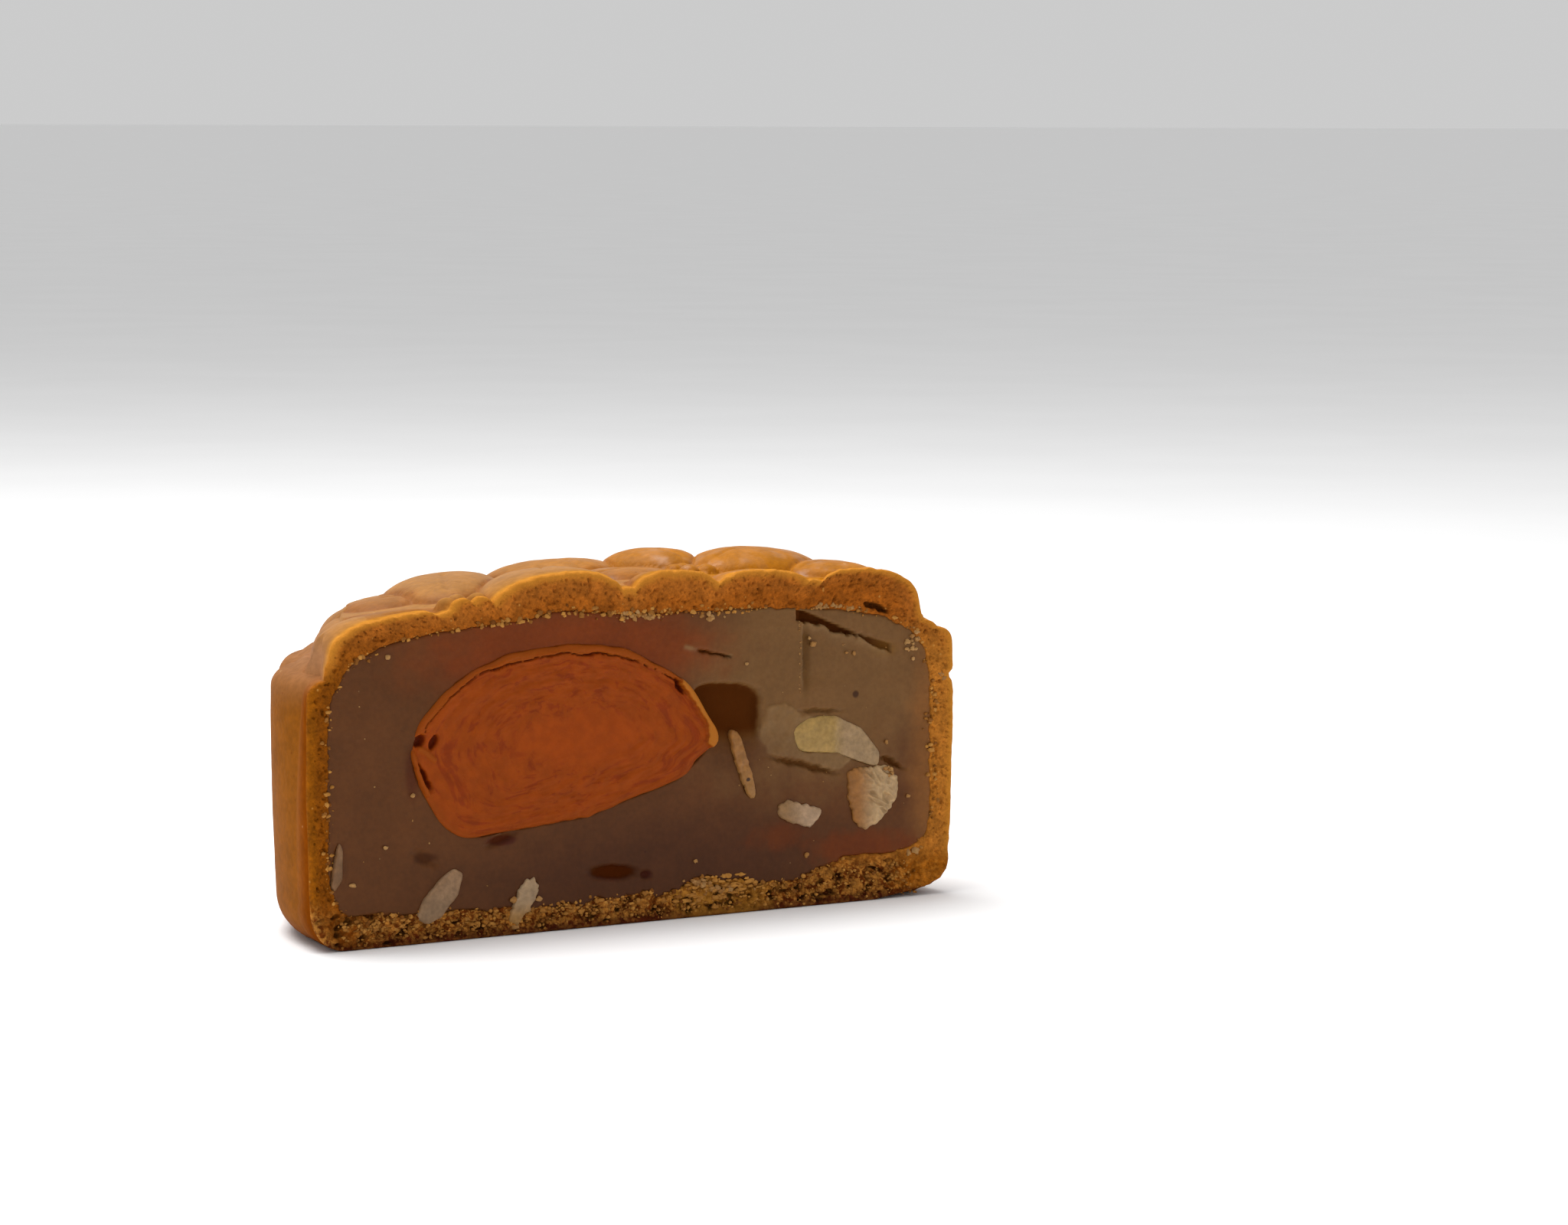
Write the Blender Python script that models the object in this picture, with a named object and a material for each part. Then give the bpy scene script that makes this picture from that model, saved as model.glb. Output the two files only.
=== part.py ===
"""Half of a baked white lotus mooncake, with its cut face towards -Y and its base on Z = 0.

A moulded crust with a blossom relief wraps a block of lotus seed paste. The paste holds half of a
salted egg yolk and seven bits of seed. Units are metres, and X runs along the cut.
"""

import math

import bmesh
import bpy
from mathutils import Matrix, Vector

MM = 0.001

# Whole cake
CAKE_RADIUS = 40.1 * MM
WALL_TOP = 29.4 * MM
LEDGE_INNER = 30.5 * MM
CROWN_TOP = 36.7 * MM
CROWN_DROP = 2.0 * MM
CROWN_ROUND = 0.5 * MM
LEAN = 0.022
LOBES = 16
LOBE_ARC_RATIO = 0.2375
FLUTE_DEPTH = 2.1 * MM
LOBE_TURN = math.radians(16.0)
STEPS_PER_LOBE = 6

# The cut runs through the cake's axis, and the half is centred on the origin
YOLK_PROUD = 0.4 * MM
SEED_PROUD = 0.3 * MM
CUT_Y = -(CAKE_RADIUS - YOLK_PROUD) / 2
FIT_GAP = 0.3 * MM
KNIFE_STEPS = 22
KNIFE_WAVES = 160.0
KNIFE_WAVE_DEPTH = 0.06 * MM

# Crust profile
BASE_RADIUS = 35.6 * MM
BASE_CORNER_HEIGHT = 4.4 * MM
BELLY = 0.5 * MM
SHOULDER_ROUND = 1.9 * MM
LEDGE_RADIUS = 36.6 * MM
CROWN_FOOT_RADIUS = 35.9 * MM
CROWN_EDGE_RADIUS = 32.8 * MM

# Paste block
PASTE_HALF_LEFT = 37.5 * MM
PASTE_HALF_RIGHT = 36.7 * MM
PASTE_FLOOR = 3.2 * MM
PASTE_MIDDLE = 18.0 * MM
PASTE_ROOF = 32.9 * MM
PASTE_ROOF_CROWN = 0.6 * MM
PASTE_TOP_SQUARENESS = 5.0
PASTE_BASE_SQUARENESS = 14.0
PASTE_RIGHT_LIFT = 2.4 * MM
PASTE_FLUTE_SHARE = 1.0
PASTE_ANGLE_STEPS = 56
PASTE_PROFILE_STEPS = 18

# Relief on top
PETAL_ROOT = 28.0 * MM
PETAL_SINK = 2.5 * MM
PETAL_SQUARENESS = 2.6
PETAL_SIDES = 20
PETAL_RINGS = 10
PETAL_TAPER = 0.16
BEAD_RADIUS = 1.3 * MM
BEAD_SINK = 0.2 * MM
BEAD_RING = 1.9 * MM
BEADS_A_FLOWER = 5

# Petals: X of the middle, distance behind the cut, the direction in degrees in which the wide end
# points, length, width, and height above the crown
PETALS = {
    "left_end": (-29.8, 2.0, 175, 15.0, 14.5, 0.6),
    "left_behind": (-24.2, 14.0, 150, 12.0, 12.6, 0.7),
    "left_long": (-16.2, 16.0, 67, 24.0, 14.4, 2.0),
    "back_left": (-9.6, 28.0, 108, 14.6, 14.0, 0.3),
    "back_middle": (2.2, 24.6, 88, 19.0, 17.0, 1.9),
    "cut_large": (-9.7, 4.0, 250, 24.0, 17.0, 2.3),
    "cut_middle": (3.9, 0.6, 300, 12.0, 12.0, 1.4),
    "middle_low": (4.6, 13.2, 20, 16.6, 14.8, 0.9),
    "tall_behind": (12.5, 20.4, 100, 15.6, 12.2, 2.7),
    "back_right": (11.8, 29.4, 70, 12.6, 13.6, 0.6),
    "right_large": (22.2, 15.2, 28, 20.6, 16.2, 2.9),
    "right_behind": (28.6, 8.4, 15, 13.6, 12.6, 1.8),
    "cut_right": (15.4, 0.2, 110, 15.0, 13.6, 1.1),
    "cut_right_end": (28.3, -2.2, 0, 15.0, 13.4, 1.6),
}

# Flower middles, each a ring of beads: X and the distance behind the cut
FLOWER_MIDDLES = {"left": (-20.8, 1.6), "right": (12.4, 11.6)}

# Yolk, as it shows on the cut: X, Z of its middle, half sizes, and how blunt its left end is
YOLK_MIDDLE = (-9.3 * MM, 20.8 * MM)
YOLK_HALF = (18.5 * MM, 12.0 * MM, 9.5 * MM)
YOLK_BLUNT = 0.22
YOLK_SIDES = 28
YOLK_RINGS = 14

# Seed pieces on the cut: X and Z of the middle, length, width, depth, slope in degrees, and bend
SEEDS = {
    "seed_crescent": (24.3, 18.7, 12.0, 4.0, 3.0, -22, -1.5),
    "seed_broken": (29.5, 11.0, 6.8, 4.6, 3.2, 60, 0.4),
    "seed_short": (19.5, 10.4, 5.8, 2.6, 2.4, -12, -0.3),
    "seed_sliver": (12.4, 16.6, 8.2, 1.9, 2.0, -73, 0.3),
    "seed_long": (-24.6, 5.1, 7.0, 2.3, 2.2, 52, 0.2),
    "seed_ragged": (-14.3, 3.6, 5.8, 1.7, 2.0, 64, 0.3),
    "seed_thin": (-36.1, 9.2, 5.2, 0.9, 1.4, 84, 0.1),
}
SEED_SIDES = 12
SEED_RINGS = 8
SEED_FULLNESS = 0.75

# Dents in the cut face: X and Z of the middle, half length, half width, depth and slope in degrees
DENTS = {
    "scoop_beside_yolk": (11.4, 22.8, 4.4, 2.9, 2.6, 8),
    "gap_under_crescent": (19.6, 16.4, 4.6, 0.7, 2.0, -10),
    "lens_pit": (-3.8, 5.6, 3.0, 0.8, 1.2, 0),
    "crack_upper": (23.2, 30.6, 4.4, 0.9, 2.6, -25),
    "crack_lower": (28.4, 28.3, 3.6, 0.7, 2.2, -24),
}
CRUST_VOID = (29.8, 32.6, 2.4, 0.7, 2.0, -24)
CORNER_CHIP = (38.2, 0.0, 4.6, 2.4, 3.4, 32)


def clear_scene():
    """Removes every object, so that the file holds only the cake."""
    for obj in list(bpy.data.objects):
        bpy.data.objects.remove(obj, do_unlink=True)


def make_material(name, colour, roughness):
    """A plain Principled finish in one colour."""
    material = bpy.data.materials.new(name)
    material.use_nodes = True
    shader = material.node_tree.nodes["Principled BSDF"]
    shader.inputs["Base Color"].default_value = (*colour, 1.0)
    shader.inputs["Roughness"].default_value = roughness
    shader.inputs["Metallic"].default_value = 0.0
    return material


def make_object(name, bm, material, collection=None):
    """Turns a bmesh into a smooth object of triangles, in the scene or in a collection."""
    bmesh.ops.recalc_face_normals(bm, faces=bm.faces)
    bmesh.ops.triangulate(bm, faces=bm.faces)
    if bm.calc_volume(signed=True) < 0:
        bmesh.ops.reverse_faces(bm, faces=bm.faces)
    mesh = bpy.data.meshes.new(name)
    bm.to_mesh(mesh)
    bm.free()
    mesh.shade_smooth()
    if material:
        mesh.materials.append(material)
    obj = bpy.data.objects.new(name, mesh)
    (collection or bpy.context.scene.collection).objects.link(obj)
    return obj


def new_collection(name):
    """An empty collection for pieces that one Boolean uses up."""
    collection = bpy.data.collections.new(name)
    bpy.context.scene.collection.children.link(collection)
    return collection


def make_cutter(name, bm, collection):
    """A helper that only cuts: it is drawn as wire and left out of renders."""
    cutter = make_object(name, bm, None, collection)
    cutter.hide_render = True
    cutter.display_type = "WIRE"


def use_up_collection(obj, collection, operation):
    """Joins or cuts the whole collection with one applied Boolean, then removes its pieces.

    The MANIFOLD solver closes the thin joints where petals and beads overlap.
    """
    step = obj.modifiers.new(collection.name, "BOOLEAN")
    step.operation = operation
    step.solver = "MANIFOLD"
    step.operand_type = "COLLECTION"
    step.collection = collection
    graph = bpy.context.evaluated_depsgraph_get()
    mesh = bpy.data.meshes.new_from_object(obj.evaluated_get(graph))
    obj.modifiers.clear()
    obj.data = mesh
    for piece in list(collection.objects):
        bpy.data.objects.remove(piece, do_unlink=True)
    bpy.data.collections.remove(collection)


def scallop(angle):
    """How far the outline is drawn in at an angle: 0 on a lobe's crest, 1 in the groove beside it."""
    half_lobe = math.pi / LOBES
    local = (angle - LOBE_TURN) % (2 * half_lobe) - half_lobe
    arc = LOBE_ARC_RATIO
    middle = 1 - arc

    def reach(turn):
        return middle * math.cos(turn) + math.sqrt(arc**2 - (middle * math.sin(turn)) ** 2)

    return (1 - reach(local)) / (1 - reach(half_lobe))


def quarter_arc(start, end, steps, bulge_first_in_radius):
    """Points along a quarter ellipse between two (radius, height) points."""
    points = []
    for step in range(1, steps + 1):
        turn = math.pi / 2 * step / steps
        along, across = math.sin(turn), 1 - math.cos(turn)
        if not bulge_first_in_radius:
            along, across = across, along
        points.append(
            (start[0] + (end[0] - start[0]) * along, start[1] + (end[1] - start[1]) * across)
        )
    return points


def crown_height(radius):
    """Height of the domed bed that the petals stand on, before the cake's lean."""
    return CROWN_TOP - CROWN_DROP * (radius / CROWN_EDGE_RADIUS) ** 2


def crown_height_at(point):
    """Height of the bed above a place on the cake, with the top leaning up to the right."""
    return crown_height(math.hypot(point.x, point.y - CUT_Y)) + LEAN * point.x


def crust_profile():
    """Points from the base's middle, up the wall and over the ledge, to the middle of the top.

    Each point is a radius, a height, how fully the flutes show there, and how fully it leans.
    """
    wall_foot = CAKE_RADIUS - BELLY
    points = [(0.0, 0.0, 0.0, 0.0), (BASE_RADIUS / 2, 0.0, 0.0, 0.0), (BASE_RADIUS, 0.0, 0.1, 0.0)]
    corner = quarter_arc((BASE_RADIUS, 0.0), (wall_foot, BASE_CORNER_HEIGHT), 4, True)
    points += [(radius, height, 0.2, 0.0) for radius, height in corner]
    wall_end = WALL_TOP - SHOULDER_ROUND
    for share in (0.25, 0.5, 0.75, 1.0):
        height = BASE_CORNER_HEIGHT + (wall_end - BASE_CORNER_HEIGHT) * share
        bulge = BELLY * math.sin(math.pi * share * 0.6)
        points.append((wall_foot + bulge, height, 0.25 + 0.55 * share**2, share))
    shoulder_end = (CAKE_RADIUS - SHOULDER_ROUND, WALL_TOP)
    shoulder = quarter_arc(points[-1][:2], shoulder_end, 3, False)
    points += [(radius, height, 1.0, 1.0) for radius, height in shoulder]
    edge_height = crown_height(CROWN_EDGE_RADIUS) - CROWN_ROUND
    points.append((LEDGE_RADIUS, LEDGE_INNER, 0.8, 1.0))
    points.append((CROWN_FOOT_RADIUS, LEDGE_INNER, 0.6, 1.0))
    rise = quarter_arc((CROWN_FOOT_RADIUS, LEDGE_INNER), (CROWN_EDGE_RADIUS, edge_height), 3, False)
    points += [(radius, height, 0.5, 1.0) for radius, height in rise]
    for share in (0.85, 0.6, 0.3):
        radius = CROWN_EDGE_RADIUS * share
        points.append((radius, crown_height(radius), 0.0, 1.0))
    points.append((0.0, CROWN_TOP, 0.0, 1.0))
    return points


def spin_profile(angle_steps, profile_steps, place):
    """A closed turned form: a grid wrapped round the cake's axis.

    place gives the radius and height for a profile step and an angle.
    """
    bm = bmesh.new()
    bmesh.ops.create_grid(bm, x_segments=angle_steps, y_segments=profile_steps, size=1.0)
    for vertex in bm.verts:
        angle = math.pi * (vertex.co.x + 1 + 1 / angle_steps)
        step = round((vertex.co.y + 1) / 2 * profile_steps)
        radius, height = place(step, angle)
        vertex.co = (radius * math.cos(angle), CUT_Y + radius * math.sin(angle), height)
    bmesh.ops.remove_doubles(bm, verts=bm.verts, dist=0.01 * MM)
    return bm


def crust_body_mesh():
    """The whole cake's outside without its petals."""
    profile = crust_profile()

    def place(step, angle):
        radius, height, fluting, leaning = profile[step]
        radius -= FLUTE_DEPTH * fluting * scallop(angle)
        return radius, height + LEAN * leaning * radius * math.cos(angle)

    return spin_profile(LOBES * STEPS_PER_LOBE, len(profile) - 1, place)


def signed_power(value, power):
    return math.copysign(abs(value) ** power, value)


def paste_block_mesh(grow):
    """The paste's squarish block, a little wider on the left and lifted at the lower right."""

    def place(step, angle):
        rise = math.pi * (step / PASTE_PROFILE_STEPS - 0.5)
        right_share = (1 + math.cos(angle)) / 2
        half_width = PASTE_HALF_LEFT + (PASTE_HALF_RIGHT - PASTE_HALF_LEFT) * right_share
        half_width -= PASTE_FLUTE_SHARE * FLUTE_DEPTH * scallop(angle) * (1 + math.sin(rise)) / 2
        power = 2 / (PASTE_TOP_SQUARENESS if rise > 0 else PASTE_BASE_SQUARENESS)
        radius = (half_width + grow) * signed_power(math.cos(rise), power)
        if step in (0, PASTE_PROFILE_STEPS):
            radius = 0.0
        reach = radius / half_width
        half_height = PASTE_ROOF - PASTE_MIDDLE if rise > 0 else PASTE_MIDDLE - PASTE_FLOOR
        height = PASTE_MIDDLE + (half_height + grow) * signed_power(math.sin(rise), power)
        if rise > 0:
            height += PASTE_ROOF_CROWN * (1 - reach**2) * math.sin(rise)
        else:
            height -= PASTE_RIGHT_LIFT * right_share**2 * reach**2 * math.sin(rise)
        return radius, height

    return spin_profile(PASTE_ANGLE_STEPS, PASTE_PROFILE_STEPS, place)


def front_block_mesh():
    """Everything in front of the cut, ending in the faint waves that the knife left."""
    width = 3 * CAKE_RADIUS
    bm = bmesh.new()
    bmesh.ops.create_grid(bm, x_segments=KNIFE_STEPS, y_segments=KNIFE_STEPS, size=width / 2)
    bmesh.ops.rotate(bm, verts=bm.verts, matrix=Matrix.Rotation(math.pi / 2, 3, "X"))
    for vertex in bm.verts:
        wave = math.sin(vertex.co.x * KNIFE_WAVES) * math.cos(vertex.co.z * KNIFE_WAVES * 1.7)
        vertex.co.y = CUT_Y + KNIFE_WAVE_DEPTH * wave
    grown = bmesh.ops.extrude_face_region(bm, geom=list(bm.faces))["geom"]
    front = [item for item in grown if isinstance(item, bmesh.types.BMVert)]
    bmesh.ops.translate(bm, verts=front, vec=(0, -width, 0))
    return bm


def petal_mesh(shape):
    """A petal: an egg-shaped dome with steep sides that follows the crown's slope."""
    middle_x, behind, degrees, length, width, height = shape
    bm = bmesh.new()
    bmesh.ops.create_uvsphere(bm, u_segments=PETAL_SIDES, v_segments=PETAL_RINGS, radius=1.0)
    rises = {}
    for vertex in bm.verts:
        reach = min(1.0, vertex.co.xy.length)
        dome = (1 - reach**PETAL_SQUARENESS) ** (1 / PETAL_SQUARENESS)
        rises[vertex] = dome if vertex.co.z > -0.01 else None
        taper = 1 + PETAL_TAPER * vertex.co.x
        vertex.co = (vertex.co.x * length / 2 * MM, vertex.co.y * width / 2 * MM * taper, 0.0)
    turn = Matrix.Rotation(math.radians(degrees), 3, "Z")
    bmesh.ops.rotate(bm, verts=bm.verts, matrix=turn)
    bmesh.ops.translate(bm, verts=bm.verts, vec=(middle_x * MM, CUT_Y + behind * MM, 0))
    for vertex, rise in rises.items():
        if rise is None:
            vertex.co.z = PETAL_ROOT
        else:
            vertex.co.z = crown_height_at(vertex.co) - PETAL_SINK + (height * MM + PETAL_SINK) * rise
    return bm


def bead_mesh(middle, angle):
    """One bead of a flower's middle, sunk past its middle in the crown."""
    place = Vector((middle[0] * MM, CUT_Y + middle[1] * MM, 0.0))
    place += Vector((BEAD_RING * math.cos(angle), BEAD_RING * math.sin(angle), 0.0))
    place.z = crown_height_at(place) - BEAD_SINK
    bm = bmesh.new()
    bmesh.ops.create_icosphere(bm, subdivisions=1, radius=BEAD_RADIUS)
    bmesh.ops.translate(bm, verts=bm.verts, vec=place)
    return bm


def relief_collection():
    """Every petal and bead of the mould, each a closed mesh, ready to be fused to the crust."""
    collection = new_collection("relief")
    for name, shape in PETALS.items():
        make_object("petal_" + name, petal_mesh(shape), None, collection)
    for name, middle in FLOWER_MIDDLES.items():
        for number in range(BEADS_A_FLOWER):
            angle = 2 * math.pi * (number + 0.25) / BEADS_A_FLOWER
            make_object(f"bead_{name}_{number}", bead_mesh(middle, angle), None, collection)
    return collection


def yolk_mesh(grow, flat_front):
    """The yolk: an egg lying along X, cut flat just in front of the paste."""
    half_x, half_y, half_z = (half + grow for half in YOLK_HALF)
    bm = bmesh.new()
    bmesh.ops.create_uvsphere(bm, u_segments=YOLK_SIDES, v_segments=YOLK_RINGS, radius=1.0)
    bmesh.ops.rotate(bm, verts=bm.verts, matrix=Matrix.Rotation(math.pi / 2, 3, "X"))
    for vertex in bm.verts:
        fullness = 1 - YOLK_BLUNT * vertex.co.x
        depth = vertex.co.y * half_y
        if flat_front:
            depth = max(depth, -YOLK_PROUD)
        vertex.co.x = YOLK_MIDDLE[0] + vertex.co.x * half_x
        vertex.co.y = CUT_Y + depth
        vertex.co.z = YOLK_MIDDLE[1] + vertex.co.z * half_z * fullness
    return bm


def seed_mesh(shape, grow, flat_front):
    """A seed piece: a bent, blunt-ended bean cut flat just in front of the paste."""
    middle_x, middle_z, length, width, depth, slope, bend = shape
    turn = Matrix.Rotation(-math.radians(slope), 3, "Y")
    bm = bmesh.new()
    bmesh.ops.create_uvsphere(bm, u_segments=SEED_SIDES, v_segments=SEED_RINGS, radius=1.0)
    bmesh.ops.rotate(bm, verts=bm.verts, matrix=Matrix.Rotation(math.pi / 2, 3, "X"))
    for vertex in bm.verts:
        along = signed_power(vertex.co.x, SEED_FULLNESS)
        across = vertex.co.z
        place = Vector(
            (
                along * (length / 2 * MM + grow),
                0.0,
                across * (width / 2 * MM + grow) + bend * MM * (along**2 - 0.4),
            )
        )
        place = turn @ place
        back = vertex.co.y * (depth * MM + grow)
        if flat_front:
            back = max(back, -SEED_PROUD)
        vertex.co = (middle_x * MM + place.x, CUT_Y + back, middle_z * MM + place.z)
    return bm


def dent_mesh(shape):
    """A smooth hollow in the cut face, as a flattened ball half in front of it."""
    middle_x, middle_z, half_length, half_width, depth, slope = shape
    bm = bmesh.new()
    bmesh.ops.create_icosphere(bm, subdivisions=2, radius=MM)
    bmesh.ops.scale(bm, verts=bm.verts, vec=(half_length, depth, half_width))
    turn = Matrix.Rotation(-math.radians(slope), 3, "Y")
    bmesh.ops.rotate(bm, verts=bm.verts, matrix=turn)
    bmesh.ops.translate(bm, verts=bm.verts, vec=(middle_x * MM, CUT_Y, middle_z * MM))
    return bm


def build_crust():
    """The baked shell: wall, ledge and relief in one piece, open at the cut."""
    crust = make_object("crust", crust_body_mesh(), make_material("crust", (0.45, 0.19, 0.05), 0.6))
    use_up_collection(crust, relief_collection(), "UNION")
    cutters = new_collection("crust_cutters")
    make_cutter("front_half", front_block_mesh(), cutters)
    make_cutter("paste_space", paste_block_mesh(FIT_GAP), cutters)
    make_cutter("crust_void", dent_mesh(CRUST_VOID), cutters)
    make_cutter("corner_chip", dent_mesh(CORNER_CHIP), cutters)
    for name in ("seed_long", "seed_ragged"):
        make_cutter(name + "_space", seed_mesh(SEEDS[name], FIT_GAP, False), cutters)
    use_up_collection(crust, cutters, "DIFFERENCE")


def build_paste():
    """The lotus paste, with room for the yolk and seeds and the dents of its cut face."""
    paste = make_object(
        "lotus_paste", paste_block_mesh(0.0), make_material("lotus_paste", (0.17, 0.1, 0.05), 0.4)
    )
    cutters = new_collection("paste_cutters")
    make_cutter("front_half", front_block_mesh(), cutters)
    make_cutter("yolk_space", yolk_mesh(FIT_GAP, False), cutters)
    for name, shape in SEEDS.items():
        make_cutter(name + "_space", seed_mesh(shape, FIT_GAP, False), cutters)
    for name, shape in DENTS.items():
        make_cutter(name, dent_mesh(shape), cutters)
    use_up_collection(paste, cutters, "DIFFERENCE")


def build_yolk():
    """The salted egg yolk, cut through with the cake."""
    material = make_material("egg_yolk", (0.35, 0.07, 0.01), 0.45)
    make_object("egg_yolk", yolk_mesh(0.0, True), material)


def build_seeds():
    """The pieces of seed that show on the cut."""
    material = make_material("seed", (0.4, 0.27, 0.14), 0.35)
    for name, shape in SEEDS.items():
        make_object(name, seed_mesh(shape, 0.0, True), material)


def main():
    clear_scene()
    build_crust()
    build_paste()
    build_yolk()
    build_seeds()


main()
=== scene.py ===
"""The looks of half a white lotus mooncake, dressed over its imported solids.

Shapes are worked out in millimetres from the cake's axis, with the cut on Y = 0 and the cake
behind it. finish_piece turns them into metres in the part's own frame.
"""

import math
import random
import bmesh
import bpy
from mathutils import Matrix, Vector, noise


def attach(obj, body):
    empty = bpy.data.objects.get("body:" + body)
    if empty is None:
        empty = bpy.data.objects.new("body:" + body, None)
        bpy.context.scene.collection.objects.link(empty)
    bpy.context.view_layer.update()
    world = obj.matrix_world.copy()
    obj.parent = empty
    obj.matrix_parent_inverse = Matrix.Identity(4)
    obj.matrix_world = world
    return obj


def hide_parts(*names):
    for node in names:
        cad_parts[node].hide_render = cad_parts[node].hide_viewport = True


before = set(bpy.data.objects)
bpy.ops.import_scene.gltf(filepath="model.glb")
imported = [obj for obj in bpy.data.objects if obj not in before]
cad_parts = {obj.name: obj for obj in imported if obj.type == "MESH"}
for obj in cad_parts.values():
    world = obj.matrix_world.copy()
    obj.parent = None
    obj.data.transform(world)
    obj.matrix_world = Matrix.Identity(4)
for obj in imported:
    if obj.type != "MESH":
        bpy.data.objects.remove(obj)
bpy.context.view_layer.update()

MM = 0.001

# Whole cake, as in the solids
CAKE_RADIUS = 40.1
CUT_Y = -19.85
WALL_TOP = 29.4
LEDGE_INNER = 30.5
LEDGE_RADIUS = 36.6
SHOULDER_ROUND = 1.9
BASE_RADIUS = 35.6
BASE_CORNER_HEIGHT = 4.4
BELLY = 0.5
CROWN_TOP = 36.7
CROWN_DROP = 2.0
CROWN_ROUND = 0.5
CROWN_FOOT_RADIUS = 35.9
CROWN_EDGE_RADIUS = 32.8
LEAN = 0.022
LOBES = 16
LOBE_ARC_RATIO = 0.2375
FLUTE_DEPTH = 2.1
LOBE_TURN = math.radians(16.0)

# How far the flutes reach into the ledge, the crown's foot and its edge, and how fast the ledge
# falls beyond its radius
LEDGE_FLUTING = 0.8
FOOT_FLUTING = 0.6
EDGE_FLUTING = 0.5
LEDGE_FALL = 0.7

# Relief on top
PETAL_SINK = 2.5
PETAL_SQUARENESS = 2.6
PETAL_TAPER = 0.16
PETAL_REACH = 1.3
PETAL_OUTER_SLOPE = 14.0
CREASE_SOFTNESS = 0.06
CREASE_DEPTH = 0.22
SLIT_DEPTH = 0.25
SLIT_WIDTH = 0.4
BEAD_RADIUS = 1.3
BEAD_SINK = 0.2
BEAD_RING = 1.9
BEADS_A_FLOWER = 5

# Petals: X of the middle, distance behind the cut, the direction in degrees in which the wide end
# points, length, width, and height above the crown
PETALS = {
    "left_end": (-29.8, 2.0, 175, 15.0, 14.5, 0.6),
    "left_behind": (-24.2, 14.0, 150, 12.0, 12.6, 0.7),
    "left_long": (-16.2, 16.0, 67, 24.0, 14.4, 2.0),
    "back_left": (-9.6, 28.0, 108, 14.6, 14.0, 0.3),
    "back_middle": (2.2, 24.6, 88, 19.0, 17.0, 1.9),
    "cut_large": (-9.7, 4.0, 250, 24.0, 17.0, 2.3),
    "cut_middle": (3.9, 0.6, 300, 12.0, 12.0, 1.4),
    "middle_low": (4.6, 13.2, 20, 16.6, 14.8, 0.9),
    "tall_behind": (12.5, 20.4, 100, 15.6, 12.2, 2.7),
    "back_right": (11.8, 29.4, 70, 12.6, 13.6, 0.6),
    "right_large": (22.2, 15.2, 28, 20.6, 16.2, 2.9),
    "right_behind": (28.6, 8.4, 15, 13.6, 12.6, 1.8),
    "cut_right": (15.4, 0.2, 110, 15.0, 13.6, 1.1),
    "cut_right_end": (28.3, -2.2, 0, 15.0, 13.4, 1.6),
}

# Flower middles, each a ring of beads: X and the distance behind the cut
FLOWER_MIDDLES = {"left": (-20.8, 1.6), "right": (12.4, 11.6)}

# Paste block on the cut
PASTE_HALF_LEFT = 37.5
PASTE_HALF_RIGHT = 36.7
PASTE_FLOOR = 3.2
PASTE_MIDDLE = 18.0
PASTE_ROOF = 32.9
PASTE_ROOF_CROWN = 0.6
PASTE_TOP_SQUARENESS = 5.0
PASTE_BASE_SQUARENESS = 14.0
PASTE_RIGHT_LIFT = 2.4
PASTE_TUCK = 0.5
PASTE_BACK_GAP = 1.0
PASTE_FLUTES = 1.6

# Swells in the border between crust and paste: X of the middle, half width, and how far the paste
# reaches out there, along the top and along the bottom
TOP_SWELLS = [(-9.0, 5.5, 0.9)]
BOTTOM_SWELLS = [
    (-12.0, 7.0, 0.6), (-33.0, 3.0, -0.7), (8.0, 3.2, -1.5), (17.9, 3.0, 1.1), (27.5, 3.4, -1.6),
]

# Yolk: X and Z of its middle, half sizes, the distance of the crack from its rim, how far in its
# edge is rounded, and its outline
YOLK_MIDDLE = (-9.3, 20.8)
YOLK_HALF = (18.5, 12.0, 9.8)
YOLK_RIM = 0.95
YOLK_ROUND = 0.6
YOLK_OUTLINE = [
    (-28.1, 20.6), (-27.2, 23.4), (-24.6, 26.2), (-20.9, 28.6), (-16.2, 30.3), (-9.0, 31.0), (-2.5, 30.2),
    (3.8, 27.0), (5.6, 25.8), (7.5, 22.9), (9.5, 19.7), (8.6, 18.3), (6.8, 17.8), (5.6, 15.7),
    (-7.1, 11.9), (-18.3, 11.0), (-21.8, 10.6), (-24.5, 12.3), (-27.6, 17.7),
]

# Levels on the cut, as distances behind it
EDGE_ROUND = 0.45
PASTE_LEVEL = 0.12
YOLK_LEVEL = -0.15
SEED_LEVEL = -0.4

# Behind the cut: the level where the backs of yolk and seeds begin, how far the paste is sunk behind
# what is set in it, and how far round in degrees the backs of paste and yolk are carried
BACK_LEVEL = 0.4
SET_IN_SINK = 1.6
PASTE_BACK_TURN = 84
YOLK_BACK_TURN = 85

# Fineness of the surfaces
SKIN_TURNS = 400
BASE_ROWS = 6
CORNER_ROWS = 12
WALL_ROWS = 56
SHOULDER_ROWS = 10
LEDGE_ROWS = 10
CROWN_SIDE_ROWS = 24
CROWN_ROWS = 111
BAND_STEPS = 2200
BAND_ROWS = 36
BAND_ROUND_ROWS = 5
PASTE_COLUMNS = 440
PASTE_ROWS = 182
PASTE_BACK_RINGS = 8
YOLK_COLUMNS = 300
YOLK_ROWS = 170
YOLK_BACK_RINGS = 7

# Radii at which the skin's rows change their spacing, on the ledge and inside the crown's edge
LEDGE_ROWS_END = CROWN_FOOT_RADIUS + 0.3
CROWN_ROWS_START = 32.0

# Broken bottom corner: X and Z of the middle, half length, half width, depth, and slope in degrees
CORNER_CHIP = (37.2, -0.4, 5.2, 2.1, 3.4, 14)

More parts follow.
